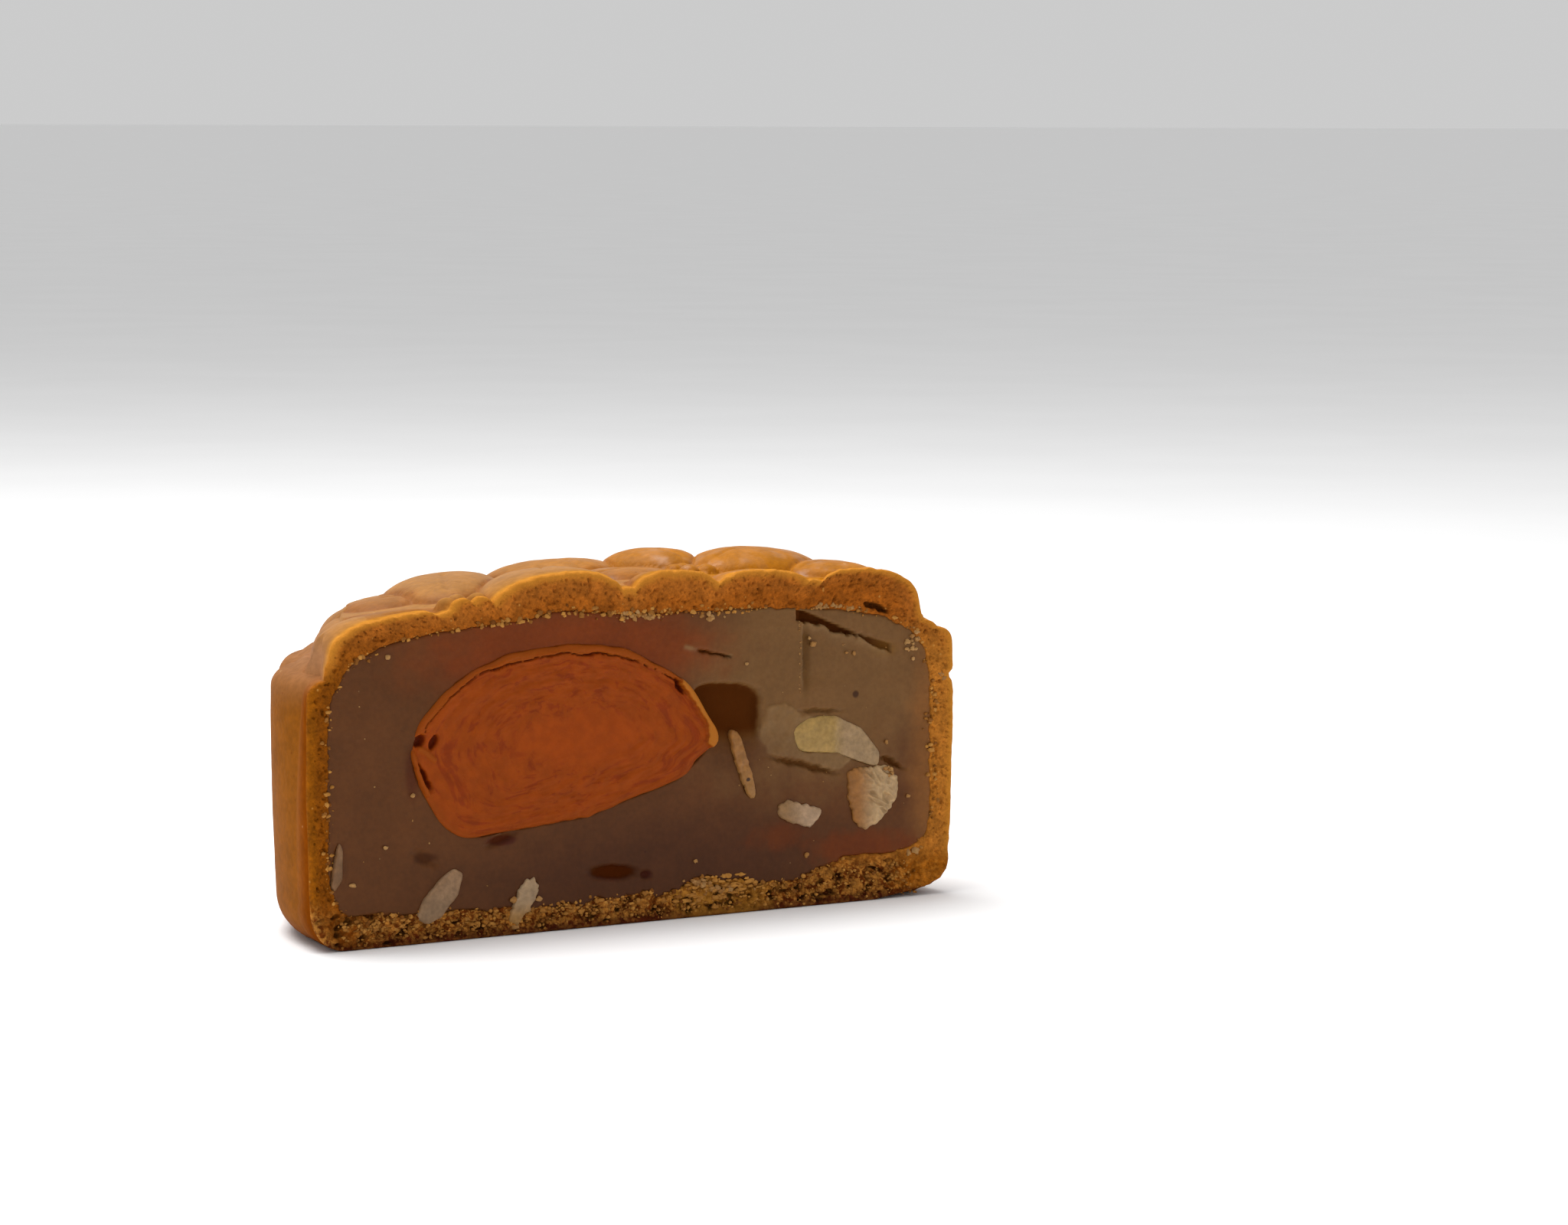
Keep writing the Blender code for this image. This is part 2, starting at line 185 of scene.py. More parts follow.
# Notch in the right edge of the cut: height, half height and depth
EDGE_NOTCH = (24.8, 0.45, 0.6)

# Voids and dents on the cut: X and Z of the middle, half length, half width, depth, slope in
# degrees, and how soft the edge is
CRUST_VOID = (29.7, 32.8, 1.5, 0.28, 1.2, -20, 0.4)
HOLLOW = (10.1, 21.3, 4.4, 4.1, 1.1, -4, 0.09)
HOLLOW_SQUARENESS = 4.0
PASTE_DENTS = {
    "lens_pit": (-3.7, 5.8, 3.0, 0.75, 0.5, -4, 0.3),
    "small_pit": (0.3, 5.2, 0.7, 0.45, 0.35, 0, 0.4),
    "left_pit": (-26.3, 9.1, 1.5, 0.6, 0.3, -30, 0.5),
    "yolk_pit": (-17.3, 10.5, 1.7, 0.45, 0.4, 20, 0.5),
    "gap_under_sheet": (20.2, 15.8, 4.2, 0.3, 0.5, -15, 0.4),
    "gap_over_seed": (22.4, 21.75, 2.4, 0.2, 0.4, -3, 0.5),
    "gap_beside_seed": (31.8, 15.3, 1.7, 0.26, 0.6, -24, 0.4),
}
YOLK_DENTS = {
    "upper_void": (-27.0, 21.6, 0.7, 0.5, 0.9, 60, 0.4),
    "inner_void": (-25.4, 21.4, 0.8, 0.4, 0.8, 60, 0.4),
    "lower_void": (-26.9, 18.0, 1.9, 0.55, 0.9, -58, 0.35),
    "flap_gap": (4.3, 25.6, 0.9, 0.35, 0.9, -60, 0.4),
}

# Cracks: the lines they follow on the cut. The long one is open between its roof and its torn lip.
CRACK_ROOF = [(19.2, 33.3), (23.0, 31.8), (27.0, 30.1), (31.6, 28.7)]
CRACK_LIP = [
    (19.2, 31.9), (20.0, 31.6), (22.8, 31.2), (23.9, 30.3), (26.6, 29.9), (28.0, 29.4), (29.2, 28.5),
    (31.6, 27.6),
]
SHORT_TEAR = [(5.2, 29.8), (7.1, 29.2), (9.0, 28.8), (10.9, 28.4)]
KNIFE_STEP = [(20.0, 33.6), (20.0, 28.5), (20.0, 24.0)]
YOLK_FLAP = [(4.9, 26.0), (7.0, 23.4), (8.4, 21.2), (8.7, 19.4)]
YOLK_SKIN = [(-27.9, 20.4), (-27.2, 18.2), (-26.2, 16.0)]
YOLK_BRIDGE = [(-27.0, 20.7), (-25.4, 19.6)]

# The pale torn sheet of paste round the crescent seed
TORN_SHEET = [
    (14.3, 19.8), (15.2, 22.3), (18.0, 23.0), (19.6, 21.6), (25.5, 20.0), (27.0, 16.6), (24.6, 14.7),
    (20.0, 16.4), (15.4, 17.4),
]

# Seeds: how deep each goes in, and its outline on the cut
SEEDS = {
    "seed_crescent": (3.0, [
        (18.6, 19.9), (20.6, 21.1), (24.2, 21.1), (27.6, 19.5), (30.1, 16.6), (29.9, 14.9), (27.0, 15.9),
        (24.4, 16.9), (19.4, 17.4),
    ]),
    "seed_broken": (3.2, [
        (25.9, 14.9), (29.4, 15.2), (31.0, 15.0), (32.5, 13.4), (32.2, 11.0), (30.1, 9.0), (28.2, 8.0),
        (26.8, 8.9), (26.0, 11.4),
    ]),
    "seed_short": (2.4, [
        (16.8, 11.6), (18.2, 12.1), (22.5, 10.8), (22.2, 9.8), (21.0, 8.8), (18.4, 9.5), (17.0, 10.3),
    ]),
    "seed_sliver": (2.0, [
        (10.8, 20.4), (11.7, 20.3), (12.7, 17.6), (13.5, 15.4), (14.1, 12.7), (13.2, 12.6), (11.9, 15.4),
        (11.0, 18.0),
    ]),
    "seed_long": (2.2, [
        (-23.0, 7.8), (-21.9, 7.2), (-22.5, 5.0), (-24.6, 2.6), (-26.2, 2.0), (-27.5, 2.8), (-26.6, 4.8),
        (-24.6, 6.8),
    ]),
    "seed_ragged": (2.0, [
        (-13.8, 6.1), (-12.8, 5.5), (-13.3, 3.7), (-14.0, 2.3), (-15.0, 1.9), (-15.7, 0.6), (-16.5, 2.1),
        (-15.4, 4.9),
    ]),
    "seed_thin": (1.4, [
        (-36.4, 11.7), (-36.0, 10.9), (-36.1, 7.5), (-36.9, 6.4), (-37.4, 7.0), (-37.0, 9.6),
    ]),
}

# How ragged the broken seeds' outlines are
RAGGED_SEEDS = {"seed_broken": 0.3, "seed_short": 0.25, "seed_sliver": 0.28, "seed_ragged": 0.5}

# Clusters of pale crumbs on the cut: X and Z of the middle, the spread along and up, the number,
# and the distance behind the cut
CRUMB_CLUSTERS = [
    (-1.6, 33.6, 0.7, 0.2, 18, 0.08), (0.6, 33.3, 0.5, 0.15, 8, 0.08), (8.3, 32.9, 0.5, 0.2, 10, 0.08),
    (22.4, 33.3, 1.0, 0.2, 12, 0.08), (26.0, 32.8, 0.8, 0.25, 9, 0.08), (31.0, 14.5, 0.4, 0.3, 9, -0.4),
    (38.4, 24.8, 0.25, 0.4, 9, 0.25), (34.4, 28.5, 0.5, 1.2, 14, 0.08), (6.6, 3.9, 0.7, 0.2, 16, -0.05),
    (9.6, 2.8, 1.5, 0.25, 12, -0.05),
]

# Crumbs that lie alone on the paste: X, Z and radius
LONE_CRUMBS = [
    (-30.6, 30.7, 0.28), (-34.8, 6.9, 0.28), (-31.0, 10.6, 0.25), (6.4, 6.2, 0.26), (20.6, 5.8, 0.3),
    (34.8, 5.2, 0.5), (33.9, 5.0, 0.35), (30.9, 17.7, 0.25), (33.8, 11.4, 0.2), (21.3, 29.2, 0.3),
    (20.8, 29.9, 0.22), (26.6, 27.9, 0.24), (25.6, 28.0, 0.18), (12.8, 27.5, 0.2), (-27.8, 15.9, 0.3),
    (-12.9, 3.7, 0.3), (-15.8, 0.9, 0.4), (-15.9, 3.8, 0.35),
]

# Golden crumbs of crust: how many lie along the bottom, as flakes right of the middle, and on the left
BED_CRUMBS = 1000
GOLDEN_FLAKES = 90
LEFT_CRUMBS = 180

# Fringes of golden crumbs along the paste's border: the number, start and end in half turns round
# the paste, how far outside the border their middle lies, and their spread
CRUMB_FRINGES = [
    (320, 0.25, 1.15, 0.12, 0.32), (90, -0.12, 0.2, 0.3, 0.4), (120, 1.15, 1.85, 0.45, 0.25),
]

# Pale crumbs along the knife's step and scattered over the paste, outside an oval round the yolk
# whose half sizes come last
KNIFE_CRUMBS = 22
SCATTERED_CRUMBS = 45
YOLK_SURROUND = (19.5, 10.5)

# How much light falls on each side and how much white sheen lies over it, which seen() takes out
# of a colour as it is seen in the photograph
FRONT = (0.92, 0.009)
RIM = (1.1, 0.012)
WALL = (1.12, 0.016)
TOP = (1.55, 0.04)

# Soft patches of colour on the paste: X and Z of the middle, half sizes, softness, raggedness,
# strength, and the colour as it is seen
PASTE_PATCHES = {
    "dark_lower_part": (2, 5, 22, 6.5, 0.6, 0.2, 1.0, (77, 47, 31)),
    "tan_upper_right": (22, 26.5, 17, 12.5, 0.45, 0.2, 1.0, (111, 79, 48)),
    "red_over_yolk": (-9, 30.0, 17, 4.8, 0.5, 0.2, 1.0, (113, 54, 24)),
    "warm_right_border": (38, 14, 3.6, 15, 0.5, 0.2, 0.9, (124, 80, 42)),
    "stain_under_short_seed": (17.2, 8.2, 3.2, 1.4, 0.6, 0.5, 0.95, (96, 50, 19)),
    "stained_corner": (28.2, 6.0, 6.0, 1.9, 0.5, 0.5, 1.0, (103, 52, 16)),
    # Painted shade: a thin dark line in the valley just right of the knife's step
    "knife_valley_shade": (20.45, 28.2, 0.6, 4.3, 0.6, 0.05, 0.75, (88, 59, 29)),
    "crack_end": (30.5, 28.2, 1.6, 0.8, 0.6, 0.1, 0.6, (112, 76, 34)),
    "under_hollow": (11.5, 17.8, 4.0, 2.0, 0.7, 0.2, 0.8, (84, 51, 30)),
    # Painted shade: the four pits below are drawn dark brown, as shade in them
    "lens_pit": (-3.7, 5.8, 3.0, 0.75, 0.35, 0.3, 0.9, (67, 35, 15)),
    "small_pit": (0.3, 5.2, 0.7, 0.45, 0.35, 0.3, 0.9, (62, 32, 13)),
    "left_pit": (-26.3, 9.1, 1.5, 0.6, 0.35, 0.3, 0.85, (72, 42, 16)),
    "yolk_pit": (-17.3, 10.3, 1.7, 0.45, 0.35, 0.3, 0.9, (72, 36, 12)),
    "left_of_yolk": (-27.8, 18.3, 0.75, 2.6, 0.5, 0.1, 0.85, (80, 42, 12)),
    "dark_spot": (26.9, 23.3, 0.4, 0.4, 0.3, 0.2, 0.8, (56, 34, 20)),
}

# Patches on the other pieces: X and Z of the middle, half sizes, softness and raggedness
YELLOW_CRUMB = (9.5, 2.2, 6.5, 2.4, 0.4, 0.4)
SMOOTH_YOLK = (-7.5, 20.6, 7.0, 2.8, 0.4, 0.3)
SLIVER_SPECK = (12.8, 14.8, 0.27, 0.22, 0.3, 0.0)

# Flesh of the seeds: the material's name, two colours as they are seen, from where to where the
# first turns into the second, and along which axis
SEED_FLESH = {
    "seed_crescent": ("crescent seed", (153, 123, 72), (148, 121, 88), 23.4, 25.6, "X"),
    "seed_broken": ("broken seed", (144, 98, 54), (170, 140, 102), 26.8, 29.4, "X"),
    "seed_short": ("short seed", (136, 104, 70), (160, 132, 104), 17.4, 20.6, "X"),
    "seed_sliver": ("brown sliver", (150, 108, 62), (142, 98, 54), 12, 18, "Z"),
    "seed_long": ("long seed", (130, 104, 78), (138, 108, 80), 2, 7, "Z"),
    "seed_ragged": ("ragged seed", (150, 112, 64), (156, 130, 100), 1.5, 4.0, "Z"),
    "seed_thin": ("thin seed", (112, 82, 56), (118, 88, 62), 7, 11, "Z"),
}

# The photograph's camera, worked out from the half's own outline: its turn and lift round the
# half, its distance from the target on the cut, the focal length in pixels of the picture, and
# the pixel that the target falls on
VIEW_TURN = 0.50967
VIEW_LIFT = 0.13735
VIEW_DISTANCE = 500.0
TARGET_HEIGHT = 18.0
FOCAL_PIXELS = 6041.6
PICTURE_WIDTH = 2048
PICTURE_HEIGHT = 1600
TARGET_PIXEL = (841.43, 990.0)
SENSOR_WIDTH = 36.0

# Studio, in metres and watts: half the floor's side, the strength of the white room, and the size,
# power, place and target of the light overhead
FLOOR_HALF = 60.0
ROOM_STRENGTH = 0.6
OVERHEAD_SIZE = 0.5
OVERHEAD_POWER = 5
OVERHEAD_PLACE = (-0.1, 0.15, 0.6)
OVERHEAD_TARGET = (0, 0, 0.02)


def smooth_between(low, high, value):
    """0 at low, 1 at high, and an even S between them."""
    share = min(1.0, max(0.0, (value - low) / (high - low)))
    return share * share * (3 - 2 * share)


def ripple(x, y, z, scale, seed=0.0):
    """Smooth noise from -1 to 1 with lumps of about the given size."""
    return noise.noise(Vector((x / scale + seed, y / scale - seed, z / scale + 7 * seed)))


def grains(x, z, size, stretch=1.0):
    """0 in the middle of a crumb and up to 1 in the gaps between crumbs of about the given size."""
    distances = noise.voronoi(Vector((x / size / stretch, 3.7, z / size)))[0]
    return min(1.0, distances[0] / max(1e-6, distances[1]))


def beside_line(x, z, points):
    """Distance to a line of points, how far along it that is, and the side: 1 left of it, -1 right."""
    best = (1e9, 0.0, 1)
    for index, (start, end) in enumerate(zip(points, points[1:])):
        run_x, run_z = end[0] - start[0], end[1] - start[1]
        from_x, from_z = x - start[0], z - start[1]
        share = min(1.0, max(0.0, (from_x * run_x + from_z * run_z) / (run_x**2 + run_z**2)))
        away = math.hypot(from_x - run_x * share, from_z - run_z * share)
        if away < best[0]:
            side = 1 if run_x * from_z - run_z * from_x > 0 else -1
            best = (away, (index + share) / (len(points) - 1), side)
    return best


def line_height(x, points):
    """Height of a line of points above a place on the cut."""
    for start, end in zip(points, points[1:]):
        if x <= end[0]:
            break
    return start[1] + (end[1] - start[1]) * (x - start[0]) / (end[0] - start[0])


def turned(east, north, degrees):
    """An offset, seen along a direction in degrees and across it."""
    turn = math.radians(degrees)
    along = east * math.cos(turn) + north * math.sin(turn)
    return along, north * math.cos(turn) - east * math.sin(turn)


def dent_depth(x, z, dent, squareness=2.0):
    """How deep a rounded dent goes at a place on the cut."""
    middle_x, middle_z, half_length, half_width, depth, degrees, softness = dent
    along, across = turned(x - middle_x, z - middle_z, degrees)
    reach = abs(along / half_length) ** squareness + abs(across / half_width) ** squareness
    return depth * smooth_between(1 + softness, 1 - softness, reach ** (1 / squareness))


def outline_middle(points):
    """The mean of an outline's points."""
    count = len(points)
    return sum(point[0] for point in points) / count, sum(point[1] for point in points) / count


def outline_reach(points, middle, angle):
    """Distance from the middle to a closed outline, in one direction."""
    ray_x, ray_z = math.cos(angle), math.sin(angle)
    reach = 0.0
    for start, end in zip(points, points[1:] + points[:1]):
        from_x, from_z = start[0] - middle[0], start[1] - middle[1]
        run_x, run_z = end[0] - start[0], end[1] - start[1]
        cross = ray_x * run_z - ray_z * run_x
        if abs(cross) > 1e-9:
            share = (from_x * ray_z - from_z * ray_x) / cross
            if 0 <= share <= 1:
                reach = max(reach, (from_x * run_z - from_z * run_x) / cross)
    return reach


def rounded_reaches(points, middle, steps=120, spread=2):
    """An outline's reaches in evenly spaced directions, with its corners rounded off."""
    sharp = [outline_reach(points, middle, 2 * math.pi * step / steps) for step in range(steps)]
    return [
        sum(sharp[(step + shift) % steps] for shift in range(-spread, spread + 1)) / (2 * spread + 1)
        for step in range(steps)
    ]


def reach_towards(reaches, angle):
    """The reach in any direction, between the two nearest of an outline's reaches."""
    place = angle / (2 * math.pi) * len(reaches)
    first = math.floor(place)
    share = place - first
    return reaches[first % len(reaches)] * (1 - share) + reaches[(first + 1) % len(reaches)] * share


def finish_piece(name, bm, material, replaced=None):
    """Turns a shape in millimetres from the cake's axis into a smooth piece of the part."""
    bmesh.ops.recalc_face_normals(bm, faces=bm.faces)
    inside = Vector((0, 12, PASTE_MIDDLE))
    outward = 0.0
    for face in bm.faces:
        outward += face.normal.dot(face.calc_center_median() - inside) * face.calc_area()
    if outward < 0:
        bmesh.ops.reverse_faces(bm, faces=bm.faces)
    bmesh.ops.translate(bm, verts=bm.verts, vec=(0, CUT_Y, 0))
    bmesh.ops.scale(bm, verts=bm.verts, vec=(MM, MM, MM))
    mesh = bpy.data.meshes.new(name)
    bm.to_mesh(mesh)
    bm.free()
    mesh.shade_smooth()
    mesh.materials.append(material)
    piece = bpy.data.objects.new(name, mesh)
    bpy.context.scene.collection.objects.link(piece)
    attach(piece, "root")
    if replaced:
        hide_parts(replaced)
    return piece


# Baked skin


def scallop(angle):
    """How far the outline is drawn in at an angle: 0 on a lobe's crest, 1 in the groove beside it."""
    half_lobe = math.pi / LOBES
    local = (angle - LOBE_TURN) % (2 * half_lobe) - half_lobe
    middle = 1 - LOBE_ARC_RATIO

    def reach(turn):
        return middle * math.cos(turn) + math.sqrt(LOBE_ARC_RATIO**2 - (middle * math.sin(turn)) ** 2)

    return (1 - reach(local)) / (1 - reach(half_lobe))


def crown_height(x, y):
    """Height of the domed bed that the petals stand on."""
    return CROWN_TOP - CROWN_DROP * (x * x + y * y) / CROWN_EDGE_RADIUS**2 + LEAN * x


def petal_height(x, y, shape):
    """Height of one petal's dome above a place, or None well outside it."""
    middle_x, behind, degrees, length, width, height = shape
    along, across = turned(x - middle_x, y - behind, degrees)
    along /= length / 2
    if abs(along) > PETAL_REACH:
        return None
    across /= width / 2 * (1 + PETAL_TAPER * along)
    reach = math.hypot(along, across)
    if reach > PETAL_REACH:
        return None
    bed = crown_height(x, y) - PETAL_SINK
    if reach > 1:
        return bed - PETAL_OUTER_SLOPE * (reach - 1)
    dome = (1 - reach**PETAL_SQUARENESS) ** (1 / PETAL_SQUARENESS)
    slit_length = smooth_between(0.45, 0.3, abs(along + 0.35))
    slit = math.exp(-((across * width / 2 / SLIT_WIDTH) ** 2)) * slit_length
    return bed + (height + PETAL_SINK) * dome - SLIT_DEPTH * slit


def bead_height(x, y, middle):
    """Height of a flower middle's beads above a place, or None outside them."""
    if math.hypot(x - middle[0], y - middle[1]) > BEAD_RING + BEAD_RADIUS:
        return None
    best = None
    for number in range(BEADS_A_FLOWER):
        angle = 2 * math.pi * (number + 0.25) / BEADS_A_FLOWER
        centre_x = middle[0] + BEAD_RING * math.cos(angle)
        centre_y = middle[1] + BEAD_RING * math.sin(angle)
        away = math.hypot(x - centre_x, y - centre_y)
        if away < BEAD_RADIUS:
            top = crown_height(centre_x, centre_y) - BEAD_SINK + math.sqrt(BEAD_RADIUS**2 - away**2)
            best = top if best is None else max(best, top)
    return best


def bed_height(x, y, groove):
    """Height of the top without its relief: the ledge, the crown's side, or its domed bed."""
    radius = math.hypot(x, y)
    foot = CROWN_FOOT_RADIUS - FOOT_FLUTING * groove
    edge = CROWN_EDGE_RADIUS - EDGE_FLUTING * groove
    ledge = LEDGE_INNER + LEAN * x
    if radius >= foot:
        return ledge - LEDGE_FALL * max(0.0, radius - LEDGE_RADIUS + LEDGE_FLUTING * groove)
    if radius <= edge:
        return crown_height(x, y)
    share = (foot - radius) / (foot - edge)
    rise = math.sqrt(1 - (1 - share) ** 2)
    return ledge + (crown_height(x, y) - CROWN_ROUND - ledge) * rise


def top_height(x, y):
    """Height of the cake's top above a place, and how deep in a crease the place is."""
    groove = FLUTE_DEPTH * scallop(math.atan2(y, x))
    raised = [petal_height(x, y, shape) for shape in PETALS.values()]
    raised += [bead_height(x, y, middle) for middle in FLOWER_MIDDLES.values()]
    heights = [bed_height(x, y, groove)] + [height for height in raised if height is not None]
    heights.sort(reverse=True)
    tallest = heights[0]
    spread = sum(math.exp((height - tallest) / CREASE_SOFTNESS) for height in heights)
    crease = pinch = 0.0
    if len(heights) > 1:
        crease = smooth_between(1.2, 0.0, tallest - heights[1])
        pinch = CREASE_DEPTH * smooth_between(0.4, 0.0, tallest - heights[1])
    if math.hypot(x, y) > CROWN_EDGE_RADIUS - EDGE_FLUTING * groove:
        crease *= 0.3
    uneven = 0.07 * ripple(x, y, 0, 4.0) + 0.035 * ripple(x, y, 0, 1.3, 3.0)
    uneven += 0.2 * smooth_between(1.5, 0.3, y) * ripple(x, y, 0, 0.8, 5.0)
    return tallest + CREASE_SOFTNESS * math.log(spread) + uneven - pinch, crease


def even_shares(count):
    """Even steps from just past 0 up to 1."""
    return [step / count for step in range(1, count + 1)]


def skin_rows():
    """Rows of the skin from the base's middle, up the wall and over the ledge to the top's middle.

    Each row is a radius, a height or None where the top's relief gives it, how fully the flutes
    show there, and how fully the row leans.
    """
    rows = [(0.0, 0.0, 0.0, 0.0)]
    for share in even_shares(BASE_ROWS):
        rows.append((BASE_RADIUS * share, 0.0, 0.2 * share**3, 0.0))
    wall_foot = CAKE_RADIUS - BELLY
    for share in even_shares(CORNER_ROWS):
        turn = math.pi / 2 * share
        radius = BASE_RADIUS + (wall_foot - BASE_RADIUS) * math.sin(turn)
        rows.append((radius, BASE_CORNER_HEIGHT * (1 - math.cos(turn)), 0.2, 0.0))
    wall_end = WALL_TOP - SHOULDER_ROUND
    for share in even_shares(WALL_ROWS):
        height = BASE_CORNER_HEIGHT + (wall_end - BASE_CORNER_HEIGHT) * share
        bulge = BELLY * math.sin(math.pi * share * 0.6)
        rows.append((wall_foot + bulge, height, 0.25 + 0.55 * share**2, share))
    wall_radius = rows[-1][0]
    ledge_radius = CAKE_RADIUS - SHOULDER_ROUND
    for share in even_shares(SHOULDER_ROWS):
        turn = math.pi / 2 * share
        radius = wall_radius + (ledge_radius - wall_radius) * (1 - math.cos(turn))
        rows.append((radius, wall_end + SHOULDER_ROUND * math.sin(turn), 0.8 + 0.2 * share, 1.0))
    for share in even_shares(LEDGE_ROWS):
        radius = ledge_radius + (LEDGE_ROWS_END - ledge_radius) * share
        rows.append((radius, None, 1.0 - 0.4 * share, 1.0))
    for share in even_shares(CROWN_SIDE_ROWS):
        radius = LEDGE_ROWS_END + (CROWN_ROWS_START - LEDGE_ROWS_END) * share
        rows.append((radius, None, 0.6 - 0.1 * share, 1.0))
    for share in even_shares(CROWN_ROWS):
        rows.append((CROWN_ROWS_START * (1 - share), None, 0.5 * (1 - share), 1.0))
    return rows


def chipped(point):
    """Moves a point that lies in the broken bottom corner back to the chip's surface."""
    middle_x, middle_z, half_length, half_width, depth, degrees = CORNER_CHIP
    along, across = turned(point.x - middle_x, point.z - middle_z, degrees)
    reach = math.hypot(along / half_length, across / half_width, point.y / depth)
    rough = 1 + 0.25 * ripple(point.x, point.y, point.z, 0.9)
    if reach >= rough:
        return point
    middle = Vector((middle_x, 0, middle_z))
    inward = Vector((-0.5, 0, 0.85)) * (rough - reach) * half_width
    return middle + (point - middle) * (0.35 + 0.65 * reach / rough) + inward


def skin_point(row, angle):
    """A point of the skin on one row, at an angle round the cake's axis, and its crease."""
    radius, height, fluting, leaning = row
    radius -= FLUTE_DEPTH * fluting * scallop(angle)
    x = radius * math.cos(angle)
    y = EDGE_ROUND + radius * math.sin(angle) * (1 - EDGE_ROUND / CAKE_RADIUS)
    if height is None:
        top, crease = top_height(x, y)
        return Vector((x, y, top)), crease
    height += LEAN * leaning * x
    if height > 1.0:
        swell = 0.09 * ripple(x, y, height, 6.0) + 0.03 * ripple(x, y, height, 1.6, 2.0)
        if x > 0:
            notch_height, half_height, depth = EDGE_NOTCH
            at_cut = smooth_between(2.2, 0.5, y)
            swell -= 0.22 * at_cut * abs(ripple(x, y, height, 2.1, 4.0))
            swell -= depth * at_cut * math.exp(-(((height - notch_height) / half_height) ** 2))
        outward = 1 + swell / max(1.0, radius)
        return chipped(Vector((x * outward, EDGE_ROUND + (y - EDGE_ROUND) * outward, height))), 0.0
    return chipped(Vector((x, y, height))), 0.0


def crust_skin_mesh():
    """The half's whole baked outside, as a grid wrapped round the axis."""
    rows = skin_rows()
    bm = bmesh.new()
    creases = bm.verts.layers.float.new("crease")
    bmesh.ops.create_grid(bm, x_segments=SKIN_TURNS, y_segments=len(rows) - 1, size=1.0)
    for vertex in bm.verts:
        angle = math.pi * (vertex.co.x + 1) / 2
        row = rows[round((vertex.co.y + 1) / 2 * (len(rows) - 1))]
        vertex.co, vertex[creases] = skin_point(row, angle)
    bmesh.ops.remove_doubles(bm, verts=bm.verts, dist=0.001)
    return bm


# Cut band of the crust


def cut_outline():
    """The crust's outline on the cut, evenly spaced, from the base's middle and back round to it."""
    rows = skin_rows()
    corners = [skin_point(row, 0.0)[0] for row in rows]
    corners += [skin_point(row, math.pi)[0] for row in reversed(rows)]
    lengths = [0.0]
    for start, end in zip(corners, corners[1:]):
        lengths.append(lengths[-1] + (end - start).length)
    points = []
    place = 0
    for step in range(BAND_STEPS + 1):
        wanted = lengths[-1] * step / BAND_STEPS
        while place < len(corners) - 2 and lengths[place + 1] < wanted:
            place += 1
        stretch = lengths[place + 1] - lengths[place]
        share = (wanted - lengths[place]) / stretch if stretch > 1e-9 else 0.0
        points.append(corners[place].lerp(corners[place + 1], min(1.0, share)))
    return points


def inside_paste(x, rise):
    """Whether a place on the cut, measured from the paste's middle, is in the paste."""
    half_width = PASTE_HALF_RIGHT if x > 0 else PASTE_HALF_LEFT
    side = abs(x) / half_width
    if side >= 1:
        return False
    if rise > 0:
        half_height = PASTE_ROOF - PASTE_MIDDLE
        limit = half_height * (1 - side**PASTE_TOP_SQUARENESS) ** (1 / PASTE_TOP_SQUARENESS)
        return rise < limit + PASTE_ROOF_CROWN * (1 - side * side)
    half_height = PASTE_MIDDLE - PASTE_FLOOR
    limit = half_height * (1 - side**PASTE_BASE_SQUARENESS) ** (1 / PASTE_BASE_SQUARENESS)
    lift = PASTE_RIGHT_LIFT * side * side if x > 0 else 0.0
    return rise > lift - limit


def paste_reach(angle):
    """Distance from the paste's middle to its edge on the cut, in one direction."""
    ray_x, ray_z = math.cos(angle), math.sin(angle)
    low, high = 0.0, 60.0
    for _ in range(24):
        reach = (low + high) / 2
        if inside_paste(ray_x * reach, ray_z * reach):
            low = reach
        else:
            high = reach
    return low


def ragged_reach(angle):
    """Distance from the paste's middle to the swollen and ragged border of the crust."""
    reach = paste_reach(angle)
    x, z = reach * math.cos(angle), PASTE_MIDDLE + reach * math.sin(angle)
    for middle, half_width, shift in TOP_SWELLS if z > PASTE_MIDDLE else BOTTOM_SWELLS:
        if min(abs(z - PASTE_FLOOR), abs(z - PASTE_ROOF)) < 5:
            reach += shift * math.exp(-(((x - middle) / half_width) ** 2))
    rough = 1.0 + 1.6 * smooth_between(8.0, 4.0, z)
    return reach + rough * (0.22 * ripple(x, 1, z, 1.7) + 0.16 * ripple(x, 2, z, 0.6))


def crumb_depth(x, z):
    """How deep the crust's open crumb lies behind the cut at a place."""
    low = smooth_between(6.0, 3.4, z) * smooth_between(38.0, 30.0, x)
    fine = 0.12 * (grains(x, z, 0.4) - 0.45) + 0.06 * ripple(x, 0, z, 1.6)
    pore = 0.22 * smooth_between(0.36, 0.55, ripple(x, 5, z, 0.7))
    pore += 0.16 * smooth_between(0.36, 0.5, ripple(x, 9, z, 0.35))
    coarse = 0.45 * (grains(x + 0.3 * z, z, 0.7, 1.3) - 0.45) + 0.4 * ripple(x, 2, z, 1.4)
    cave = 0.6 * smooth_between(0.22, 0.5, ripple(x / 1.6, 4, z, 0.8))
    depth = (fine + pore) * (1 - low) + (fine + coarse + cave) * low
    return depth + dent_depth(x, z + 0.3 * ripple(x, 7, z, 0.6), CRUST_VOID)


